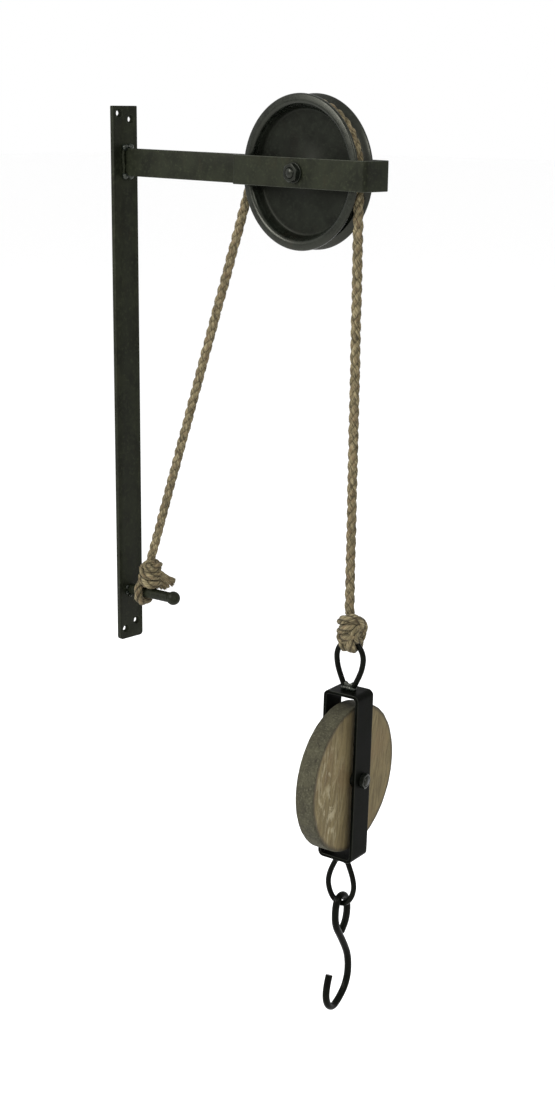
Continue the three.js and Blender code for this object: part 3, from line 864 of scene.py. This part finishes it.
def make_peg_knot():
    """One turn round the peg, wraps round the standing part, and a frayed tail."""
    at = facing(Vector((38 * MM, 0, 0)), PEG_KNOT_FACE)

    route = [HAUL_START + Vector((1.2, 0, 3.2)) * MM, HAUL_START]
    route += [at(*p) for p in ((0.8, 0, -212), (-1.5, -1, -221), (-5.4, 0, -229))]
    route += [on_peg(along * MM, side * MM, height * MM) for along, side, height in (
        (31, -8.2, 12), (29.4, -10.4, 5), (28.8, -10.3, -4), (28.4, -6.4, -9.4), (28.2, 0, -10.9),
        (28.2, 6.6, -8.6), (28.6, 10.4, -1), (29.8, 9.2, 8), (33, 5, 13))]
    route += [at(*p) for p in (
        (3, -3, -232), (10.4, 1, -230.5), (8, 7.4, -231), (0, 9.4, -232.4), (-6.6, 7.2, -229),
        (-9, 0, -225), (-5, -7, -222.5), (4, -8, -221.4), (10.2, -2, -221), (8.6, 6.6, -222),
        (1.2, 9.4, -222.4), (-6, 7, -219.5), (-8, 0, -215.8), (-4, -6.5, -213), (4, -7, -210.6),
        (9.6, -1, -210.8), (9.2, 5.6, -211.8), (4.4, 8.6, -214.2), (-1.4, 8.6, -212.6),
        (-3.6, 6, -209.4), (1, 4.4, -208.6), (4, 2, -212))]
    line = spline(route, KNOT_STEP)
    heap = Heap()
    laid_rope(heap, core(at, (1, 0), -238, -211, 4.4, 3), radius=4.5 * MM, phase=2.4)
    laid_rope(heap, core(at, (-3.4, -1), -237, -227, 2.6, 2), radius=4.2 * MM, phase=0.4)
    laid_rope(heap, line, radius=5.0 * MM, phase=0.9)
    fuzz(heap, line, 900, seed=31, radius=5.0 * MM, reach=2.2 * MM)
    knot = heap.piece("peg_knot_rope")
    place(knot, "bracket", "jute_rope", "peg_knot")

    heap = Heap()
    tips = [(28, 0, -229.4), (27.4, -1, -232.4), (26, 1, -235), (22.4, 3, -233), (21, 1, -237.4),
            (17.4, 4, -238.8), (13.6, 4, -238.4), (9.4, 6, -237)]
    for n, (right, front, height) in enumerate(tips):
        points = [(4 + 0.35 * n, 6.5 - 0.5 * n, -215.6 - 1.1 * n),
                  (0.3 * right + 3.4, 6.4, -217.5 - 1.1 * n + 0.16 * (height + 229)),
                  (0.62 * right + 3, 4.4, (-220.5 - 1.0 * n) * 0.55 + height * 0.45),
                  (right, front, height)]
        unlaid_yarn(heap, [at(*p) for p in points], n)
    tail = heap.piece("frayed_tail")
    place(tail, "bracket", "jute_rope", "rope_tail")
    return knot, tail


block_knot = make_block_knot()
peg_knot, frayed_tail = make_peg_knot()


def path_length(line):
    return sum((b - a).length for a, b in zip(line, line[1:]))


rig.cord(haul_rope, exit=haul_path[0], length=path_length(haul_path), diameter=2 * ROPE_RADIUS,
        far_end="object", stiffness="limp", lay="taut", path=haul_path, with_pieces=[peg_knot, frayed_tail])
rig.cord(fall_rope, exit=fall_path[0], length=path_length(fall_path), diameter=2 * ROPE_RADIUS,
        far_end="knot", stiffness="limp", lay="hanging", path=fall_path, with_pieces=[block_knot])


# ---- flat bar, plate and rods ----
def strap_loop(name, low, high, bend, strap, breadth, towards, steel, edge_steel):
    """A flat bar bent into a closed frame with its edges broken. low and high are its outer corners in
    its own plane, and towards(a, b, across) places a point of it."""
    corners = ((high[0] - bend, high[1] - bend, 0), (low[0] + bend, high[1] - bend, 90),
               (low[0] + bend, low[1] + bend, 180), (high[0] - bend, low[1] + bend, 270))
    route = []
    for a, b, start in corners:
        for i in range(9):
            angle = math.radians(start + 90 * i / 8)
            route.append((a + bend * math.cos(angle), b + bend * math.sin(angle),
                          math.cos(angle), math.sin(angle)))
        ahead = corners[(start // 90 + 1) % 4]
        last = route[-1]
        turned_to = math.radians(ahead[2])
        target = (ahead[0] + bend * math.cos(turned_to), ahead[1] + bend * math.sin(turned_to))
        pieces = max(2, round(math.hypot(target[0] - last[0], target[1] - last[1]) / (6 * MM)))
        for i in range(1, pieces):
            route.append((last[0] + (target[0] - last[0]) * i / pieces,
                          last[1] + (target[1] - last[1]) * i / pieces, last[2], last[3]))
    broken = 0.7 * MM
    hold = 0.5 * MM  # how far the flat stays level beside an edge
    side = breadth / 2 - broken
    section, rubbed = [], []
    for depth, across, start in ((-broken, side, 0), (-strap + broken, side, 90),
                                 (-strap + broken, -side, 180), (-broken, -side, 270)):
        before = math.radians(start)
        after = math.radians(start + 90)
        section.append((depth + broken * math.cos(before) + hold * math.sin(before),
                        across + broken * math.sin(before) - hold * math.cos(before)))
        rubbed.append(False)
        for i in range(5):
            angle = math.radians(start + 90 * i / 4)
            section.append((depth + broken * math.cos(angle), across + broken * math.sin(angle)))
            rubbed.append(i < 4)
        section.append((depth + broken * math.cos(after) - hold * math.sin(after),
                        across + broken * math.sin(after) + hold * math.cos(after)))
        rubbed.append(False)
    vertices = []
    for a, b, out_a, out_b in route:
        for depth, across in section:
            vertices.append(towards(a + out_a * depth, b + out_b * depth, across))
    faces = loop_faces(len(route), len(section))
    piece = mesh_object(name, vertices, faces, steel, edge_steel)
    piece.data.polygons.foreach_set("material_index", [int(edge) for edge in rubbed] * len(route))
    return smooth(piece, 40)


def broken_edges(name, node, width):
    """A flat CAD node's shape with its sharp edges broken."""
    mesh = frame["nodes"][node].data.copy()
    mesh.name = name
    mesh.materials.clear()
    mesh.materials.append(bracket_steel)
    mesh.materials.append(bracket_edge)
    work = bmesh.new()
    work.from_mesh(mesh)
    bmesh.ops.remove_doubles(work, verts=work.verts, dist=0.01 * MM)
    bmesh.ops.dissolve_limit(work, angle_limit=math.radians(1), verts=work.verts, edges=work.edges)
    sharp = [edge for edge in work.edges if edge.calc_face_angle(0) > math.radians(40)]
    bmesh.ops.bevel(work, geom=sharp, offset=width, segments=3, profile=0.5, affect="EDGES",
                    clamp_overlap=True, material=1)
    bmesh.ops.triangulate(work, faces=[face for face in work.faces if len(face.verts) > 4])
    work.to_mesh(mesh)
    work.free()
    piece = smooth(add_object(name, mesh), 30)
    return place(piece, "bracket", "bracket_steel", node)


def weld_bead(name, body, points, width, seed, material=weld_steel):
    """A run of weld: a fat uneven bead with a ripple for each puddle, rounded at its ends."""
    line = spline(points, width * 0.09)
    frames = frames_along(line)
    sides = 28
    ripple = width * 0.42
    step = (line[1] - line[0]).length
    vertices = []
    for i, (point, (_, normal, binormal)) in enumerate(zip(line, frames)):
        run = i * step
        from_end = min(i + 0.15, len(line) - 0.85 - i) * step
        cap = math.sqrt(max(0.02, 1 - max(0, 1 - from_end / (width * 0.5)) ** 2))
        shift = 0.35 * noise.noise(Vector((run / ripple, seed, 0)))
        wave = abs(math.sin(math.pi * (run / ripple + shift)))
        for k in range(sides):
            out = spoke(normal, binormal, 2 * math.pi * k / sides)
            lump = noise.noise((point + out * width) / (width * 0.8) + Vector((seed, 0, 0)))
            fine = noise.noise((point + out * width) / (width * 0.22))
            reach = width * 0.5 * cap * (0.86 + 0.14 * wave + 0.22 * lump + 0.07 * fine)
            vertices.append(point + out * reach)
    bead = smooth(mesh_object(name, vertices, tube_faces(len(line), sides), material), 80)
    place(bead, body, f"{body}_steel")


FORK_START, FORK_END, FORK_HALF = 188.8 * MM, 370.5 * MM, 19 * MM
FORK_BREADTH, FORK_STRAP, FORK_BEND = 30 * MM, 4 * MM, 4.5 * MM
PEG_RADIUS, PEG_BALL = 6 * MM, 8 * MM
PEG_LENGTH = 71.5 * MM  # from its foot to the middle of its ball
DROOP = Matrix.Translation(SHEAVE) @ Matrix.Rotation(ARM_DROOP, 4, "Y") @ Matrix.Translation(-SHEAVE)


def on_fork(a, b, across):
    return DROOP @ Vector((a, b, SHEAVE.z + across))


def make_bracket():
    broken_edges("wall_plate", "back_plate", 0.45 * MM)
    broken_edges("arm_flat", "arm_bar", 0.6 * MM)
    fork = strap_loop("fork_strap", (FORK_START, -FORK_HALF), (FORK_END, FORK_HALF), FORK_BEND, FORK_STRAP,
                      FORK_BREADTH, on_fork, bracket_steel, bracket_edge)
    place(fork, "bracket", "bracket_steel", "sheave_fork")

    neck = math.sqrt(PEG_BALL ** 2 - PEG_RADIUS ** 2)
    from_neck = math.degrees(math.atan2(PEG_RADIUS, -neck))
    profile = [(0, 0), (PEG_RADIUS, 0), (PEG_RADIUS, 3 * MM), (PEG_RADIUS, PEG_LENGTH - neck - 3 * MM),
               (PEG_RADIUS - 0.3 * MM, PEG_LENGTH - neck - 1 * MM)]
    profile += [(y, PEG_LENGTH + x) for x, y in arc((0, 0), PEG_BALL, from_neck - 3, 3, 22)]
    profile.append((0, PEG_LENGTH + PEG_BALL))
    peg = turned("peg_bar", profile, 40, PEG_ROOT + PEG_WAY * 0.51 * MM, PEG_WAY, bracket_steel)
    place(peg, "bracket", "bracket_steel", "rope_peg")


def make_bracket_welds():
    """A thin run up each side of the arm's root with a blob at each end, and beads at the peg and fork."""
    root = DROOP @ Vector((PLATE_FACE, 0, SHEAVE.z))

    def at_root(out, side, rise):
        return PLATE_FACE + out * MM, side, root.z + rise

    for tag, y, seed in (("near", -4.2 * MM, 41), ("far", 4.2 * MM, 42)):
        points = [at_root(1.2, y, -14 * MM), at_root(1.8, y, -5 * MM), at_root(1.2, y - 0.6 * MM, 5 * MM),
                  at_root(1.6, y, 14 * MM)]
        weld_bead(f"arm_weld_{tag}", "bracket", points, 3.8 * MM, seed, bracket_steel)
        for n, rise in enumerate((-15.4 * MM, 16 * MM)):
            points = [at_root(1.4, y - 2.2 * MM, rise - 1 * MM), at_root(3.2, y + 0.4 * MM, rise),
                      at_root(1.8, y + 3 * MM, rise + 0.8 * MM)]
            weld_bead(f"arm_weld_{tag}_{n + 1}", "bracket", points, 7.6 * MM, 51 + n + seed)
    for n, angle in enumerate((150, 205, 255)):
        out = Vector((0, math.cos(math.radians(angle)), math.sin(math.radians(angle)))) * 7.4 * MM
        along = Vector((0, -out.z, out.y)) * 0.3
        centre = PEG_ROOT + out + Vector((0.6 * MM, 0, 0))
        weld_bead(f"peg_weld_{n + 1}", "bracket", [centre - along, centre + out * 0.06, centre + along],
                  3.6 * MM, 61 + n)
    for tag, y, seed in (("near", -3.0 * MM, 71), ("far", 3.0 * MM, 72)):
        points = [on_fork(FORK_START - 0.7 * MM, y, rise * MM) for rise in (-13, 0, 13)]
        weld_bead(f"fork_weld_{tag}", "bracket", points, 2.2 * MM, seed, bracket_edge)


# ---- nuts, bolts and rings ----
AXLE_RADIUS = 5 * MM
AXLE_BORE = AXLE_RADIUS + 0.3 * MM
NUT_BORE = AXLE_RADIUS + 0.15 * MM
AXLE_FLATS, BLOCK_NUT_FLATS, BLOCK_HEAD_FLATS = 17 * MM, 15 * MM, 16.5 * MM
HEAD_THICK = 6.4 * MM
THREAD_PITCH, THREAD_DEPTH = 1.5 * MM, 0.55 * MM
AXLE = Vector((SHEAVE.x, 0, SHEAVE.z))
AXLE_WAY = Vector((0, 1, 0))


def nut(name, flats, thick, bore, origin, axis, turn=0.0):
    """A hexagon nut with chamfered faces and a countersunk bore. It stands on origin, along axis."""
    apothem = flats / 2
    crown = apothem * 0.95
    slope = math.tan(math.radians(28))
    axis, side, other = axes_about(axis)
    steps = 72
    columns = []
    for i in range(steps):
        angle = 2 * math.pi * i / steps
        wall = min(apothem / math.cos((angle % (math.pi / 3)) - math.pi / 6), apothem * 1.125)
        fall = (wall - crown) * slope
        outline = [(bore, 0), (crown, 0), (wall, fall), (wall, thick - fall), (crown, thick),
                   (bore * 1.14, thick), (bore, thick - bore * 0.14)]
        out = spoke(side, other, angle + turn)
        columns.append([origin + axis * height + out * radius for radius, height in outline])
    vertices = [point for ring in zip(*columns) for point in ring]
    faces = loop_faces(len(outline), steps)
    return smooth(mesh_object(name, vertices, faces, fastener_steel), 25)


def washer(name, outer, inner, low, high, origin, axis, material, broken=0.4 * MM):
    """A washer or bush: a turned ring between two heights along its axis, its outer edges rounded."""
    corner = outer - broken
    profile = [(inner, low), (corner, low)]
    profile += [(corner + x, low + broken + y) for x, y in arc((0, 0), broken, -90, 0, 4)]
    profile += [(corner + x, high - broken + y) for x, y in arc((0, 0), broken, 0, 90, 4)]
    profile += [(inner, high)]
    return turned(name, profile, 64, origin, axis, material)


def axle_washer(name, node, body, slot, material, broken=0.4 * MM):
    """A washer or bush on the sheave's axle, as large as the CAD's."""
    low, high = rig.box(node)
    piece = washer(name, (high.z - low.z) / 2, AXLE_BORE, low.y, high.y, AXLE, AXLE_WAY, material, broken)
    place(piece, body, slot, node)


def bolt(name, tip, head_at, head_flats, origin, axis, thread_from):
    """A hexagon-head bolt lying along axis: its head outside head_at, its threaded end at tip."""
    axis = Vector(axis).normalized()
    along = axis if tip > head_at else -axis
    length = abs(tip - head_at)
    start = origin + axis * head_at
    thread = abs(thread_from - head_at)
    root = AXLE_RADIUS - THREAD_DEPTH
    profile = [(0, 0), (AXLE_RADIUS, 0), (AXLE_RADIUS, thread)]
    height = thread + THREAD_PITCH / 2
    while height < length - 1.2 * MM:
        profile += [(root, height), (AXLE_RADIUS - 0.05 * MM, height + THREAD_PITCH / 2)]
        height += THREAD_PITCH
    profile += [(root, length - 0.5 * MM), (root - 0.5 * MM, length), (0, length)]
    vertices, faces = turned_mesh(profile, 36, start, along)
    shank = smooth(mesh_object(name, vertices, faces, fastener_steel), 50)
    head = nut(name + "_head", head_flats, HEAD_THICK, 0.2 * MM, start, -along)
    work = bmesh.new()
    work.from_mesh(shank.data)
    work.from_mesh(head.data)
    work.to_mesh(shank.data)
    work.free()
    bpy.data.objects.remove(head)
    return shank


def make_axle():
    """The sheave's bolt and its stack, outside and inside the fork."""
    for tag in ("near", "far"):
        axle_washer(f"washer_{tag}", f"axle_washer_{tag}", "bracket", "fastener_steel", fastener_steel,
                    broken=0.5 * MM)
        axle_washer(f"spacer_{tag}", f"sheave_spacer_{tag}", "bracket", "fastener_steel", bush_steel)
    low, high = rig.box("axle_nut")
    nut_face = Vector((AXLE.x, high.y, AXLE.z))
    piece = nut("nut_axle", AXLE_FLATS, high.y - low.y, NUT_BORE, nut_face, -AXLE_WAY, turn=0.35)
    place(piece, "bracket", "fastener_steel", "axle_nut")
    bolt_low, bolt_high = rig.box("axle_bolt")
    piece = bolt("bolt_axle", bolt_low.y, bolt_high.y - HEAD_THICK, AXLE_FLATS, AXLE, AXLE_WAY,
                 thread_from=high.y + 4 * MM)
    place(piece, "bracket", "fastener_steel", "axle_bolt")


def make_sheave():
    """A turned wheel: a rolled bead each side of the rope groove, and a recessed web."""
    hub = [(8.3, 12.25), (13.4, 12.25), (14, 11.7), (14, 3.2), (14.5, 2), (15.6, 1.5)]
    web = [(40, 1.5), (59.6, 1.5), (61.2, 1.6), (62.4, 2), (63.1, 2.6), (63.7, 3.5), (64.2, 4.5),
           (64.7, 5.6), (65.3, 6.9)]
    bead = arc((71.2, 9), 4.8, 176, 80, 16) + arc((75.3, 11.1), 2.3, 78, -10, 10)
    flare = [(77.3, 10.2), (75.8, 8.8), (74.4, 7.6), (72.6, 6.3)]
    half = hub + web + bead + flare + arc((69.5, 0), 5.4, 70, 180, 16)
    profile = [(r * MM, y * MM) for r, y in half]
    profile += [(r, -y) for r, y in reversed(profile[:-1])]
    wheel = turned("pulley_wheel", profile, 160, SHEAVE, AXLE_WAY, sheave_steel, bead_steel)
    for face in wheel.data.polygons:
        out = face.center - SHEAVE
        face.material_index = int(abs(out.y) > 5 * MM and math.hypot(out.x, out.z) > 65 * MM)
    place(wheel, "sheave", "sheave_steel", "sheave_wheel")
    axle_washer("wheel_bush", "sheave_bush", "sheave", "bush_steel", bush_steel)


# ---- the block, its disc and its hook ----
FRAME_LOW, FRAME_HIGH = -479.6 * MM, -290.2 * MM
FRAME_HALF, FRAME_DEPTH, FRAME_STRAP, FRAME_BEND = 21.5 * MM, 31 * MM, 3.8 * MM, 6.5 * MM
GAP = 0.3 * MM  # between two pieces that touch
EYE_ROD, HOOK_ROD = 3 * MM, 4 * MM
HOOK_SLACK = 0.4 * MM
ROD_STEP = 1.2 * MM
DISC_RADIUS, DISC_HALF, DISC_BORE, DISC_EDGE = 80.5 * MM, 11 * MM, 8 * MM, 1.5 * MM
BUSH_OUTER, BUSH_HALF = 7.7 * MM, 17.2 * MM

# One leg of an eye, as millimetres outward and away from its foot.
EYE_LEG = [(4.3, 0), (4.4, 1), (7, 5.7), (9.8, 11.5), (12.6, 18), (14.8, 24.5)]
EYE_HALF = 16.2 * MM

# The four beads at an eye's foot, as (across, side, away from the strap) in mm, and their widths.
EYE_BEADS = [(((-8.4, -1.2, 0.8), (-3, -2.6, 2.2), (3, -2.4, 2.4), (8.4, -1, 0.8)), 5.2),
             (((-8, 1.4, 0.8), (0, 2.6, 2), (8, 1.2, 0.8)), 4.8),
             (((-5.6, 0.3, 7.6), (-1.6, -0.3, 4.6), (2, 0.2, 4.4), (5.8, 0, 7.8)), 4.8),
             (((-4.4, 0.4, 2.6), (0, -0.4, 2), (4.4, 0.2, 2.6)), 6.4)]

# The hook's bent line from the eye it hangs on, in mm: across, up and back.
HOOK_ROUTE = [(9.9, -47.5, -4.8), (12.6, -42, -3.8), (14.4, -36, -2.5), (15, -29, -1.3),
              (14.8, -21.5, -0.4), (13.9, -13.4, 0), (11.6, -6.3, 0), (8.4, -1.8, 0), (3.2, 0.5, 0),
              (-2.2, 0.1, 0), (-6.4, -3.2, 0), (-8.8, -9.6, 0), (-9.8, -17.6, 0), (-9.2, -26.5, 0),
              (-6.6, -34.6, 0), (-1.5, -42.9, 0), (4.6, -52.4, 0), (11.3, -63.7, 0), (15.8, -73.3, 0),
              (18.1, -82.8, 0), (18.6, -91.5, 0), (17.6, -99.7, 0), (14.4, -107.8, 0), (9.9, -113.8, 0),
              (3.7, -118.9, 0), (-4, -123.5, 0), (-10.5, -125.6, 0), (-16, -124.6, 0), (-21.7, -120.2, 0),
              (-25.3, -113, 0), (-26.1, -105.9, 0), (-25.3, -99.9, 0), (-23.6, -93.6, 0), (-20.2, -84.9, 0)]


def in_block(across, side, height):
    return BLOCK_PLACE @ Vector((across, side, height))


DISC_CENTRE = in_block(0, 0, DISC_HEIGHT)


def make_eye(which, strap_face, wide, rise, way):
    """One eye's rod, from foot to foot: widest at one height and bent back a rise further on."""
    foot = strap_face + way * GAP
    leg = [(out * MM, foot + way * up * MM) for out, up in EYE_LEG]
    crown = [(EYE_HALF * math.cos(math.radians(a)), wide + way * rise * math.sin(math.radians(a)))
             for a in range(0, 181, 15)]
    outline = leg + crown + [(-across, height) for across, height in reversed(leg)]
    line = spline([in_block(across, 0, height) for across, height in outline], ROD_STEP)
    place(rod(f"{which}_eye_rod", line, EYE_ROD), "block", "block_steel", f"block_{which}_eye")


def weld_eye(which, strap_face, way, seed):
    for n, (bead, width) in enumerate(EYE_BEADS):
        points = [in_block(across * MM, side * MM, strap_face + way * away * MM)
                  for across, side, away in bead]
        weld_bead(f"{which}_eye_weld_{n + 1}", "block", points, width * MM, seed + 2 * n)


def make_disc():
    flat_rim = DISC_RADIUS - DISC_EDGE
    shoulder = DISC_HALF - DISC_EDGE

    def worn(angle, at, height):
        """How far the rim stands out from a true circle."""
        if at < DISC_RADIUS - 2.2 * MM:
            return 0
        edge = math.copysign(3, height) if abs(height) > shoulder - DISC_EDGE else 0
        spot = Vector((math.cos(angle) * 9, math.sin(angle) * 9, edge))
        return (noise.noise(spot) * 0.35 + noise.noise(spot * 4) * 0.18) * MM

    side = [(DISC_BORE, 0), (DISC_BORE, DISC_HALF - 0.8 * MM), (DISC_BORE + 0.8 * MM, DISC_HALF)]
    side += [(DISC_RADIUS * share, DISC_HALF) for share in (0.3, 0.6, 0.85)]
    side += [(flat_rim - 1.2 * MM, DISC_HALF)]
    side += [(flat_rim + x, shoulder + y) for x, y in arc((0, 0), DISC_EDGE, 90, 8, 6)]
    side += [(DISC_RADIUS, shoulder - 1.5 * MM), (DISC_RADIUS, DISC_HALF * 0.5), (DISC_RADIUS, 0)]
    profile = side + [(r, -y) for r, y in reversed(side[1:-1])]
    disc = turned("wood_disc_turned", profile, 240, DISC_CENTRE, BLOCK_ACROSS, wood_face, wood_rim,
                  uneven=worn)
    for face in disc.data.polygons:
        out = face.center - DISC_CENTRE
        reach = (out - BLOCK_ACROSS * out.dot(BLOCK_ACROSS)).length
        face.material_index = int(reach > DISC_RADIUS - DISC_EDGE * 0.75)
    place(disc, "disc", "old_wood", "wood_disc")
    bush = washer("disc_bush_tube", BUSH_OUTER, AXLE_BORE, -BUSH_HALF, BUSH_HALF, DISC_CENTRE,
                  BLOCK_ACROSS, bush_steel)
    place(bush, "disc", "bush_steel", "disc_bush")


def make_block():
    body = strap_loop("block_strap", (-FRAME_HALF, FRAME_LOW), (FRAME_HALF, FRAME_HIGH), FRAME_BEND,
                      FRAME_STRAP, FRAME_DEPTH, lambda a, b, across: in_block(a, across, b),
                      block_steel, block_edge)
    place(body, "block", "block_steel", "block_frame")
    make_eye("top", FRAME_HIGH, -255.5 * MM, 18.5 * MM, way=1)
    make_eye("bottom", FRAME_LOW, -512.5 * MM, 23.3 * MM, way=-1)
    weld_eye("top", FRAME_HIGH, way=1, seed=81)
    weld_eye("bottom", FRAME_LOW, way=-1, seed=83)
    outer = FRAME_HALF + GAP
    piece = nut("nut_block", BLOCK_NUT_FLATS, 5 * MM, NUT_BORE, DISC_CENTRE + BLOCK_ACROSS * outer,
                BLOCK_ACROSS, turn=0.2)
    place(piece, "block", "fastener_steel", "block_nut")
    piece = bolt("bolt_block", 28.1 * MM, -outer, BLOCK_HEAD_FLATS, DISC_CENTRE, BLOCK_ACROSS,
                 thread_from=16 * MM)
    place(piece, "block", "fastener_steel", "block_bolt")


def make_hook():
    hung = Vector(JOINTS["hook_swing"]["pos_m"]) + UP * (EYE_ROD + HOOK_ROD + HOOK_SLACK)
    line = spline([hung + BLOCK_SIDE * across * MM + UP * height * MM + LEVEL_ACROSS * back * MM
                   for across, height, back in HOOK_ROUTE], ROD_STEP)
    place(rod("hook_rod", line, HOOK_ROD), "hook", "block_steel", "s_hook")


make_bracket()
make_bracket_welds()
make_axle()
make_sheave()
make_block()
make_disc()
make_hook()


# ---- the floor and the light ----
FLOOR_HEIGHT, FLOOR_HALF = -0.7, 30
LIGHT_TARGET = Vector((0.25, 0, -0.1))


def area_light(name, place_at, side, watts):
    data = bpy.data.lights.new(name, "AREA")
    data.shape = "RECTANGLE"
    data.size, data.size_y = side, side
    data.energy = watts
    light = add_object(name, data)
    light.location = place_at
    light.rotation_euler = (LIGHT_TARGET - Vector(place_at)).to_track_quat("-Z", "Y").to_euler()


def make_stage():
    mesh = bpy.data.meshes.new("floor")
    corners = ((-1, -1), (1, -1), (1, 1), (-1, 1))
    mesh.from_pydata([(x * FLOOR_HALF, y * FLOOR_HALF, FLOOR_HEIGHT) for x, y in corners], [], [(0, 1, 2, 3)])
    paper = Shade("floor_paper", Base_Color=(0.99, 0.99, 0.99, 1), Roughness=0.9, Specular_IOR_Level=0.1)
    mesh.materials.append(paper.material)
    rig.stage(add_object("floor", mesh))
    world = bpy.context.scene.world or bpy.data.worlds.new("world")
    bpy.context.scene.world = world
    world.use_nodes = True
    background = world.node_tree.nodes.get("Background") or world.node_tree.nodes.new("ShaderNodeBackground")
    background.inputs["Color"].default_value = (1, 1, 1, 1)
    background.inputs["Strength"].default_value = 1.0
    area_light("key_light", (-0.7, -2.5, 1.5), 1.4, 100)
    area_light("fill_light", (2.6, -1.4, 1.9), 1.2, 48)


make_stage()

shown_low, shown_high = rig.bounds()
with open("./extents.json", "w") as out:
    json.dump({"cad": [list(cad_low), list(cad_high)], "shown": [list(shown_low), list(shown_high)]}, out)
